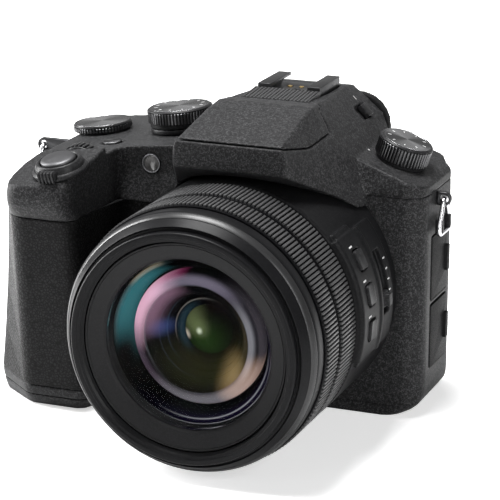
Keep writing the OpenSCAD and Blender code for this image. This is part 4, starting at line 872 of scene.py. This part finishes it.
def dial(node, radius, height, knurls, skirt, top_rim, marks):
    """A knurled dial in mm: skirt is the plain band at its foot, top_rim the bevel, marks the ticks on its top."""
    body = BODY_OF[node]
    place = joint_frame(body)
    top = height_range(node, place)[1]
    foot = top - height
    # the spun top carries painted light and dark sectors of sheen
    metal = turned(node + "_spun", (0.22, 0.22, 0.224), (0.52, 0.52, 0.53), 0.26,
                   place.translation, JOINT_OF[body]["axis"])
    edge_r, face_r = radius - 0.45, radius - top_rim
    core = lathe([(0.0, foot, 0), (edge_r - 0.3, foot, 0.2), (edge_r - 0.3, foot + skirt, 0.1),
                  (edge_r, foot + skirt, 0.1), (edge_r, top - 0.9, 0.1), (radius - 0.1, top - 0.8, 0.15),
                  (radius - 0.15, top - 0.55, 0.2), (face_r, top - 0.02, 0.25)], place, CONTROL, 128)
    face = lathe([(0.0, top - 0.6, 0), (face_r - 0.05, top - 0.6, 0), (face_r - 0.05, top, 0.12),
                  (face_r - 0.5, top, 0.1), (face_r - 0.7, top - 0.18, 0.05), (face_r - 0.95, top - 0.05, 0.1),
                  (0.0, top - 0.03, 0)], place, metal, 128)
    knurl = rounded_bar(0.9, 2 * math.pi * radius / knurls * 0.62, top - foot - skirt - 1.0, 0.16)
    knurl_middle = Matrix.Translation((0, 0, (foot + skirt + top - 1.0) / 2 * MM))
    ribs = grow(ring_tree, knurl, place @ knurl_middle, KNURL, Count=knurls, Radius=(radius - 0.5) * MM)
    parts = [core, face, crisp(ribs, 30)]
    if marks:
        parts.append(grow(ring_tree, rounded_bar(1.1, 0.35, 0.04, 0.01), place @ Matrix.Translation((0, 0, top * MM)),
                          PRINT, Count=marks, Radius=(face_r - 2.2) * MM))
    return put(node + "_turned", joined(*parts), None, node)


for sizes in [("rear_dial", 10.0, 3.0, 56, 0.5, 0.5, 0), ("mode_dial", 11.0, 6.2, 62, 1.6, 0.9, 12),
              ("drive_dial", 9.0, 7.6, 50, 1.2, 0.8, 9)]:
    made = dial(*sizes)
    print(made.name, len(made.data.polygons))

# %% Front dial, lever and switch
front_place = joint_frame("front_dial_body")
wheel_r = radius_of("front_dial")
wheel_half = 2.5
axle_half = wheel_half + 3
wheel = lathe([(0.0, -wheel_half, 0), (wheel_r - 0.9, -wheel_half, 0.3), (wheel_r - 0.6, -wheel_half + 0.5, 0.2),
               (wheel_r - 0.6, wheel_half - 0.5, 0.2), (wheel_r - 0.9, wheel_half, 0.3), (0.0, wheel_half, 0)],
              front_place, CONTROL, 96)
wheel_rib = rounded_bar(1.2, 0.95, 2 * wheel_half - 0.8, 0.25, 2)
wheel_ribs = grow(ring_tree, wheel_rib, front_place, KNURL, Count=32, Radius=(wheel_r - 0.6) * MM)
axle = lathe([(0.0, -axle_half, 0), (2.0, -axle_half, 0.2), (2.0, axle_half, 0.2), (0.0, axle_half, 0)],
             front_place, STEEL, 48)
put("front_dial_wheel", joined(wheel, crisp(wheel_ribs, 30), axle), None, "front_dial")
machined("power_lever", CONTROL, 0.3)
machined("flash_switch", CONTROL, 0.3)
print("front dial radius", round(wheel_r, 2), "mm")

# %% Shutter button and zoom lever
SHUTTER_PLACE = joint_frame("zoom_lever_body")
button_top = height_range("shutter_button", SHUTTER_PLACE)[1]
button_foot, stem_foot = button_top - 2.2, button_top - 9.4
BUTTON_R = 5.7
BUTTON_SATIN = plated("shutter_satin", (0.085, 0.085, 0.088), 0.46, 0.000006)
button = lathe([(0.0, button_foot, 0), (BUTTON_R, button_foot, 0.1), (BUTTON_R, button_top - 0.9, 0.5)]
               + dome_points(BUTTON_R, button_top, 0.55, 8), SHUTTER_PLACE, BUTTON_SATIN, 96)
stem = lathe([(0.0, stem_foot, 0), (2.0, stem_foot, 0.2), (2.0, button_foot, 0), (0.0, button_foot, 0)],
             SHUTTER_PLACE, STEEL, 48)
put("shutter_cap", joined(button, stem), None, "shutter_button")

lever_low, lever_high = 0.3, 4.4
LEVER_R = 9.0
lever_ring = lathe(
    [(5.6, lever_low, 0), (LEVER_R, lever_low, 0.2), (LEVER_R, lever_low + 1.0, 0.4),
     (LEVER_R - 0.8, lever_low + 1.7, 0.2), (LEVER_R - 1.0, lever_low + 1.5, 0.1),
     (LEVER_R - 1.2, lever_low + 2.6, 0.3), (LEVER_R - 1.8, lever_high - 0.4, 0.4),
     (BUTTON_R + 0.9, lever_high - 0.1, 0.3), (BUTTON_R + 0.4, lever_high - 0.6, 0.2),
     (BUTTON_R + 0.4, lever_low + 1.6, 0), (5.6, lever_low + 1.6, 0)], SHUTTER_PLACE, CONTROL, 128)
tab_place = SHUTTER_PLACE @ Matrix.Translation((0, -(LEVER_R - 0.2) * MM, (lever_low + 1.95) * MM))
tab = placed(rounded_bar(6.4, 2.6, 3.3, 0.9, 4), tab_place, CONTROL)
tab_ribs = grow(grid_tree, rounded_bar(0.7, 2.4, 3.6, 0.3, 2), tab_place @ Matrix.Translation((0, -0.5 * MM, 0)),
                CONTROL, Columns=5, Rows=1, Width=4.8 * MM, Height=0.0)
put("zoom_lever_ring", joined(lever_ring, crisp(tab), crisp(tab_ribs)), None, "zoom_lever")
print("shutter top", round(button_top, 2), "mm above the platform")

# %% Record button
record_axis = JOINT_OF["rear_dial_body"]["axis"]
record_place = frame_at(middle_of("record_button"), record_axis)
record_bottom, record_top = height_range("record_button", record_place)
flange = record_top - 1.0
# the record cap's metal carries the same painted sheen sectors
RECORD_METAL = turned("record_metal", (0.08, 0.08, 0.083), (0.13, 0.13, 0.134), 0.4, record_place.translation,
                      record_axis)
record_cap = lathe([(0.0, record_bottom, 0), (1.2, record_bottom, 0.1), (1.2, flange, 0), (3.1, flange, 0.1),
                    (3.1, record_top - 0.3, 0.35), (2.5, record_top, 0.3), (0.0, record_top - 0.15, 0)],
                   record_place, RECORD_METAL, 64)
put("record_cap", record_cap, None, "record_button")
print("record button", round(record_top - record_bottom, 2), "mm tall")

# %% [markdown]
# ## Shoe, sound holes and lamp
# The accessory shoe is folded black steel with contacts in its floor. In front of it lies a plate with rows of
# sound holes over the microphones. The focus lamp is a grey window dome in a thin metal rim.

# %% Shoe and contacts
machined("hot_shoe", BLACK_STEEL, 0.35, 3)
shoe_low, shoe_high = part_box("hot_shoe")
SHOE_FLOOR = shoe_high.z - 3.1 * MM
contact_shape = rounded_bar(1.5, 1.5, 0.5, 0.2, 2)
contacts = grow(grid_tree, contact_shape, Matrix.Translation((0, shoe_low.y + 0.012, SHOE_FLOOR)), GOLD, Columns=3,
                Rows=1, Width=8 * MM, Height=0.0)
put("shoe_contacts", crisp(contacts), None, body="camera_body", slot="steel")

# %% Sound holes
HOLE_PITCH = 1.25
PLATE_HALF = 11.4
PLATE_BACK = shoe_low.y / MM - 0.6
PLATE_FRONT = -18.2
PLATE = speckled("sound_plate", (0.030, 0.030, 0.031), (0.055, 0.055, 0.057), 0.38, 0.0004, 0.00002, 0.4)
roof = bpy.data.objects["top_cover_moulded"]
bpy.context.view_layer.update()


def roof_height(x, y):
    """Height of the roof over a point in mm."""
    hit, place, normal, index = roof.ray_cast((x * MM, y * MM, 0.2), (0, 0, -1))
    return place.z / MM


roof_back, roof_front = roof_height(3, PLATE_BACK), roof_height(3, PLATE_FRONT)
plate_back, plate_front = roof_back + 1.9, roof_front + 0.2
PLATE_Z = (plate_back + plate_front) / 2
print("roof at the plate's back and front:", round(roof_back, 2), round(roof_front, 2), "mm")


def hole_cell(pitch, hole, depth):
    """One square of perforated plate in mm: a flat top with a round hole and the hole's wall."""
    made = bmesh.new()
    sides = 12
    outer, inner, floor_ring = [], [], []
    for k in range(sides):
        a = 2 * math.pi * (k + 0.5) / sides
        x, y = math.cos(a) * MM, math.sin(a) * MM
        reach = pitch / 2 / max(abs(math.cos(a)), abs(math.sin(a)))
        outer.append(made.verts.new((reach * x, reach * y, 0)))
        inner.append(made.verts.new((hole * x, hole * y, 0)))
        floor_ring.append(made.verts.new((hole * x, hole * y, -depth * MM)))
    for k in range(sides):
        n = (k + 1) % sides
        made.faces.new((outer[k], outer[n], inner[n], inner[k]))
        made.faces.new((inner[k], inner[n], floor_ring[n], floor_ring[k]))
    made.faces.new(floor_ring)
    return to_mesh(made, "hole_cell")


columns = round(2 * PLATE_HALF / HOLE_PITCH)
rows = round((PLATE_BACK - PLATE_FRONT) / HOLE_PITCH)
plate_slope = math.atan2(plate_back - plate_front, PLATE_BACK - PLATE_FRONT)
plate_place = (Matrix.Translation((0, (PLATE_BACK + PLATE_FRONT) / 2 * MM, PLATE_Z * MM))
               @ Matrix.Rotation(plate_slope, 4, "X"))
holes = grow(grid_tree, hole_cell(HOLE_PITCH, 0.46, 0.7), plate_place, PLATE, Columns=columns, Rows=rows,
             Width=(columns - 1) * HOLE_PITCH * MM, Height=(rows - 1) * HOLE_PITCH * MM)
plate = bmesh.new()
plate.from_mesh(holes)
bmesh.ops.remove_doubles(plate, verts=plate.verts, dist=0.02 * MM)
rim_edges = [edge for edge in plate.edges if edge.is_boundary]
skirt = bmesh.ops.extrude_edge_only(plate, edges=rim_edges)["geom"]
bmesh.ops.translate(plate, verts=[v for v in skirt if isinstance(v, bmesh.types.BMVert)], vec=(0, 0, -2.6 * MM))
bmesh.ops.edgeloop_fill(plate, edges=[e for e in skirt if isinstance(e, bmesh.types.BMEdge)])
bmesh.ops.recalc_face_normals(plate, faces=plate.faces)
plate.to_mesh(holes)
plate.free()
put("sound_holes", crisp(holes), None, body="camera_body", slot="case_plastic")
print("sound holes:", columns * rows)

# %% Focus lamp
lamp_middle = middle_of("af_lamp")
lamp_place = frame_at((lamp_middle.x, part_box("af_lamp")[0].y, lamp_middle.z), (0, -1, 0))
LAMP_R = 2.9
LAMP_GLASS, lamp_tree, lamp_bsdf, lamp_at = start_finish("lamp_window", (0.10, 0.10, 0.105), 0.12, Coat_Weight=0.6)
lamp_marks = use_group(lamp_tree, speckle, lamp_at, Grain_size=0.0008)
wire(lamp_tree, between(lamp_tree, lamp_marks["Smudge"], (0.07, 0.07, 0.075), (0.16, 0.155, 0.15)),
     lamp_bsdf.inputs["Base Color"])
window = lathe([(0.0, -2.2, 0), (LAMP_R, -2.2, 0.1), (LAMP_R, -0.2, 0.3)] + dome_points(2.7, 0.5, 0.6, 8),
               lamp_place, LAMP_GLASS, 64)
lamp_rim = lathe([(2.75, -0.6, 0), (3.15, -0.6, 0.05), (3.15, 0.25, 0.12), (2.75, 0.25, 0.12)],
                 lamp_place, BUTTON, 64)
put("lamp_window", joined(window, lamp_rim), None, "af_lamp")
print("lamp radius", LAMP_R, "mm")

# %% Index marks on the roof
drive_middle = middle_of("drive_dial")
above_dial = (drive_middle.x - 11.2 * MM, drive_middle.y - 2.0 * MM, 0.2)
beside_switch = (0.2, middle_of("flash_switch").y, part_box("flash_switch")[1].z + 1.6 * MM)
dial_mark = printed_dash(roof, above_dial, (0, 0, -1), (1, 0, 0), 2.0, 0.4)
switch_mark = printed_dash(roof, beside_switch, (-1, 0, 0), (0, 0, 1), 1.6, 0.4)
put("roof_marks", joined(dial_mark, switch_mark), None, body="camera_body", slot="button_metal")
print("roof marks: 2")

# %% [markdown]
# ## The back
# None of this shows in the photograph, but the part will be seen from every side. The keys are low caps with a
# slightly hollow top, the four-way pad has a small mark at each side, and the monitor is glossy black in a
# satin frame.

# %% Keys
def back_frame(node):
    """A frame in the middle of a node's inner face, with Z out of the back wall."""
    middle = middle_of(node)
    return frame_at((middle.x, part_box(node)[0].y, middle.z), (0, 1, 0))


def depth_of(node):
    low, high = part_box(node)
    return (high.y - low.y) / MM


KEY_EDGE, KEY_HOLLOW = 0.4, 0.12
for node in ["af_lock_button", "play_button", "view_button", "set_button"]:
    radius, top = radius_of(node), depth_of(node)
    cap = lathe([(0.0, 0.0, 0), (radius, 0.0, 0), (radius, top - KEY_EDGE, KEY_EDGE),
                 (radius - KEY_EDGE, top, KEY_EDGE), (0.0, top - KEY_HOLLOW, 0)], back_frame(node), CONTROL, 72)
    put(node + "_cap", cap, None, node)
    print(node, "radius", round(radius, 2), "mm")
machined("focus_lever", CONTROL, 0.3, 3)

# %% Four-way pad
pad_place = back_frame("nav_pad")
PAD_R, PAD_TOP = radius_of("nav_pad"), depth_of("nav_pad")
tick_place = pad_place @ Matrix.Translation((0, 0, (PAD_TOP - 0.12) * MM))
knurl_place = pad_place @ Matrix.Translation((0, 0, PAD_TOP / 2 * MM))
pad_ring = lathe([(3.5, 0.0, 0), (PAD_R, 0.0, 0), (PAD_R, PAD_TOP - 0.5, 0.4), (PAD_R - 0.6, PAD_TOP, 0.4),
                  (6.6, PAD_TOP - 0.25, 0.4), (4.4, PAD_TOP, 0.3), (3.5, PAD_TOP - 0.5, 0.3)], pad_place, CONTROL, 96)
pad_ticks = grow(ring_tree, rounded_bar(1.2, 0.35, 0.08, 0.02), tick_place, PRINT, Count=4, Radius=(PAD_R - 2.0) * MM)
pad_knurl = grow(ring_tree, rounded_bar(0.6, 0.5, PAD_TOP - 1.0, 0.15), knurl_place, CONTROL, Count=72,
                 Radius=(PAD_R - 0.32) * MM)
put("nav_pad_ring", joined(pad_ring, pad_ticks, crisp(pad_knurl)), None, "nav_pad")
print("pad radius", round(PAD_R, 2), "mm")

# %% Monitor
SCREEN = speckled("screen_glass", (0.002, 0.002, 0.003), (0.003, 0.003, 0.004), 0.10, 0.004, 0.000002, 0.5)
machined("monitor_frame", CASE, 0.5, 3)
machined("monitor_hinge", CONTROL, 0.3, 3)
machined("monitor_screen", SCREEN, 0.25, 2)
print("screen is", round(2 * radius_of("monitor_screen"), 1), "mm wide")

# %% Eyepiece and flash window
# the eyepiece glass glows a faint even blue: a painted reflection
EYE_GLASS = glass_with_painted_reflections("eye_glass", [((0.003, 0.005, 0.010), 120, 1.6, -20, 60)], (), 0.05)
machined("eyepiece_lens", EYE_GLASS, 0.2, 2)
machined("diopter_wheel", CONTROL, 0.15, 2)
FROST = speckled("frosted_window", (0.55, 0.56, 0.58), (0.7, 0.71, 0.73), 0.35, 0.0008, 0.00004, 0.5)
machined("flash_window", FROST, 0.2, 2)
print("windows:", EYE_GLASS.name, FROST.name)

# %% [markdown]
# ## Sides and base
# The strap ring is bent wire in a steel eye, with a plastic guard that keeps it off the paint. The port
# doors are soft rubber with a finger tab. The base carries the tripod bush, the battery door and its screws.

# %% Strap rings and guards
machined("strap_lugs", BLACK_STEEL, 0.45, 3)
for node, outward in [("strap_ring_right", 1), ("strap_ring_left", -1)]:
    worker = merged_copy(node)
    modify(worker, "SUBSURF", levels=2, render_levels=2)
    wire_ring = settle(worker)
    wire_ring.shade_smooth()
    put(node + "_round", wire_ring, CHROME, node)
    foot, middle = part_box(node)[0].z, middle_of(node)
    shapes = []
    for width, depth, dx, dy in [(1.0, 8.2, -1.2, 0.0), (2.6, 1.5, -0.3, -4.0), (2.6, 1.5, -0.3, 4.0)]:
        place = Matrix.Translation((middle.x + outward * dx * MM, middle.y + dy * MM, foot + 3.4 * MM))
        shapes.append(crisp(placed(rounded_bar(width, depth, 4.6, 0.4, 3), place, CONTROL)))
    put(node + "_guard", joined(*shapes), None, body=BODY_OF[node], slot="ring_plastic")
print("strap rings:", 2)

# %% Port doors and battery door
DOOR = grained("door_rubber", (0.009, 0.009, 0.009), (0.014, 0.014, 0.015), 0.5, 0.0005, 0.00002)
for node in ["port_door_upper", "port_door_lower"]:
    machined(node, DOOR, 0.35, 3)
machined("battery_door", CASE, 0.25, 2)
machined("battery_latch", CONTROL, 0.2, 2)
latch_middle = middle_of("battery_latch")
latch_face = Matrix.Translation((latch_middle.x, latch_middle.y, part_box("battery_latch")[0].z))
latch_ribs = grow(grid_tree, rounded_bar(0.5, 8.0, 0.3, 0.1, 2), latch_face, CONTROL, Columns=3, Rows=1,
                  Width=2.4 * MM, Height=0.0)
put("latch_ribs", crisp(latch_ribs), None, body="battery_latch_body", slot="ring_plastic")
print("doors: 3, latch ribs: 3")

# %% Tripod bush
BUSH_R = 3.175
BUSH_DEEP = 6.0
BUSH_PITCH = 0.635
thread = [(BUSH_R + 0.35 * (k % 2), 0.35 + BUSH_PITCH * k / 2, 0) for k in range(17)]
bush = lathe([(BUSH_R + 0.5, 0.0, 0.15), (5.675, 0.0, 0.2), (5.675, 4.0, 0), (7.175, 4.0, 0), (7.175, 5.0, 0.2),
              (4.775, 5.0, 0), (4.775, 7.0, 0.2), (0.0, 7.0, 0), (0.0, BUSH_DEEP, 0), (BUSH_R, BUSH_DEEP, 0)]
             + thread[::-1], Matrix.Identity(4), STEEL, 96)
put("tripod_bush", bush, None, "tripod_socket")
print("tripod thread radius", BUSH_R, "mm")


# %% Screws
def screw_head(radius, height, slot):
    """A cross-head screw in mm, its face on Z = 0 looking down."""
    made = bmesh.new()
    sides = 32
    rim, face, slot_edge = [], [], []
    for k in range(sides):
        a = 2 * math.pi * (k + 0.5) / sides
        x, y = radius * math.cos(a) * MM, radius * math.sin(a) * MM
        deep = 0.55 if min(abs(math.cos(a)), abs(math.sin(a))) < 0.26 else 0.30
        rim.append(made.verts.new((x, y, height * MM)))
        face.append(made.verts.new((0.92 * x, 0.92 * y, 0)))
        slot_edge.append(made.verts.new((deep * x, deep * y, 0)))
    slot_floor = [made.verts.new((v.co.x * 0.7, v.co.y * 0.7, slot * MM)) for v in slot_edge]
    for k in range(sides):
        n = (k + 1) % sides
        for low, high in [(rim, face), (face, slot_edge), (slot_edge, slot_floor)]:
            made.faces.new((low[k], low[n], high[n], high[k]))
    made.faces.new(slot_floor)
    made.faces.new(rim)
    bmesh.ops.recalc_face_normals(made, faces=made.faces)
    return to_mesh(made, "screw_head")


base_screws = grow(grid_tree, screw_head(1.7, 0.6, 0.5), Matrix.Translation((5 * MM, 1.5 * MM, -0.08 * MM)),
                   BLACK_STEEL, Columns=2, Rows=2, Width=66 * MM, Height=26 * MM)
put("base_screws", crisp(base_screws), None, body="camera_body", slot="steel")
print("base screws:", 4)

# %% [markdown]
# ## Inside
# The solids inside are seen only when a door or the monitor is open, or in a section. They keep their own
# shapes and only take a finish.

# %% Inner nodes
for node, material in [("inner_barrel", DARK), ("iris_unit", DARK), ("nd_wheel", DARK), ("viewfinder_unit", DARK),
                       ("sensor_unit", BOARD), ("main_board", BOARD), ("battery", CONTROL), ("chassis", CAST)]:
    mesh = frame["nodes"][node].data
    mesh.materials.clear()
    mesh.materials.append(material)
print("dressed nodes:", len(frame["nodes"]))

# %% Piece count
print("pieces:", len(PIECES))
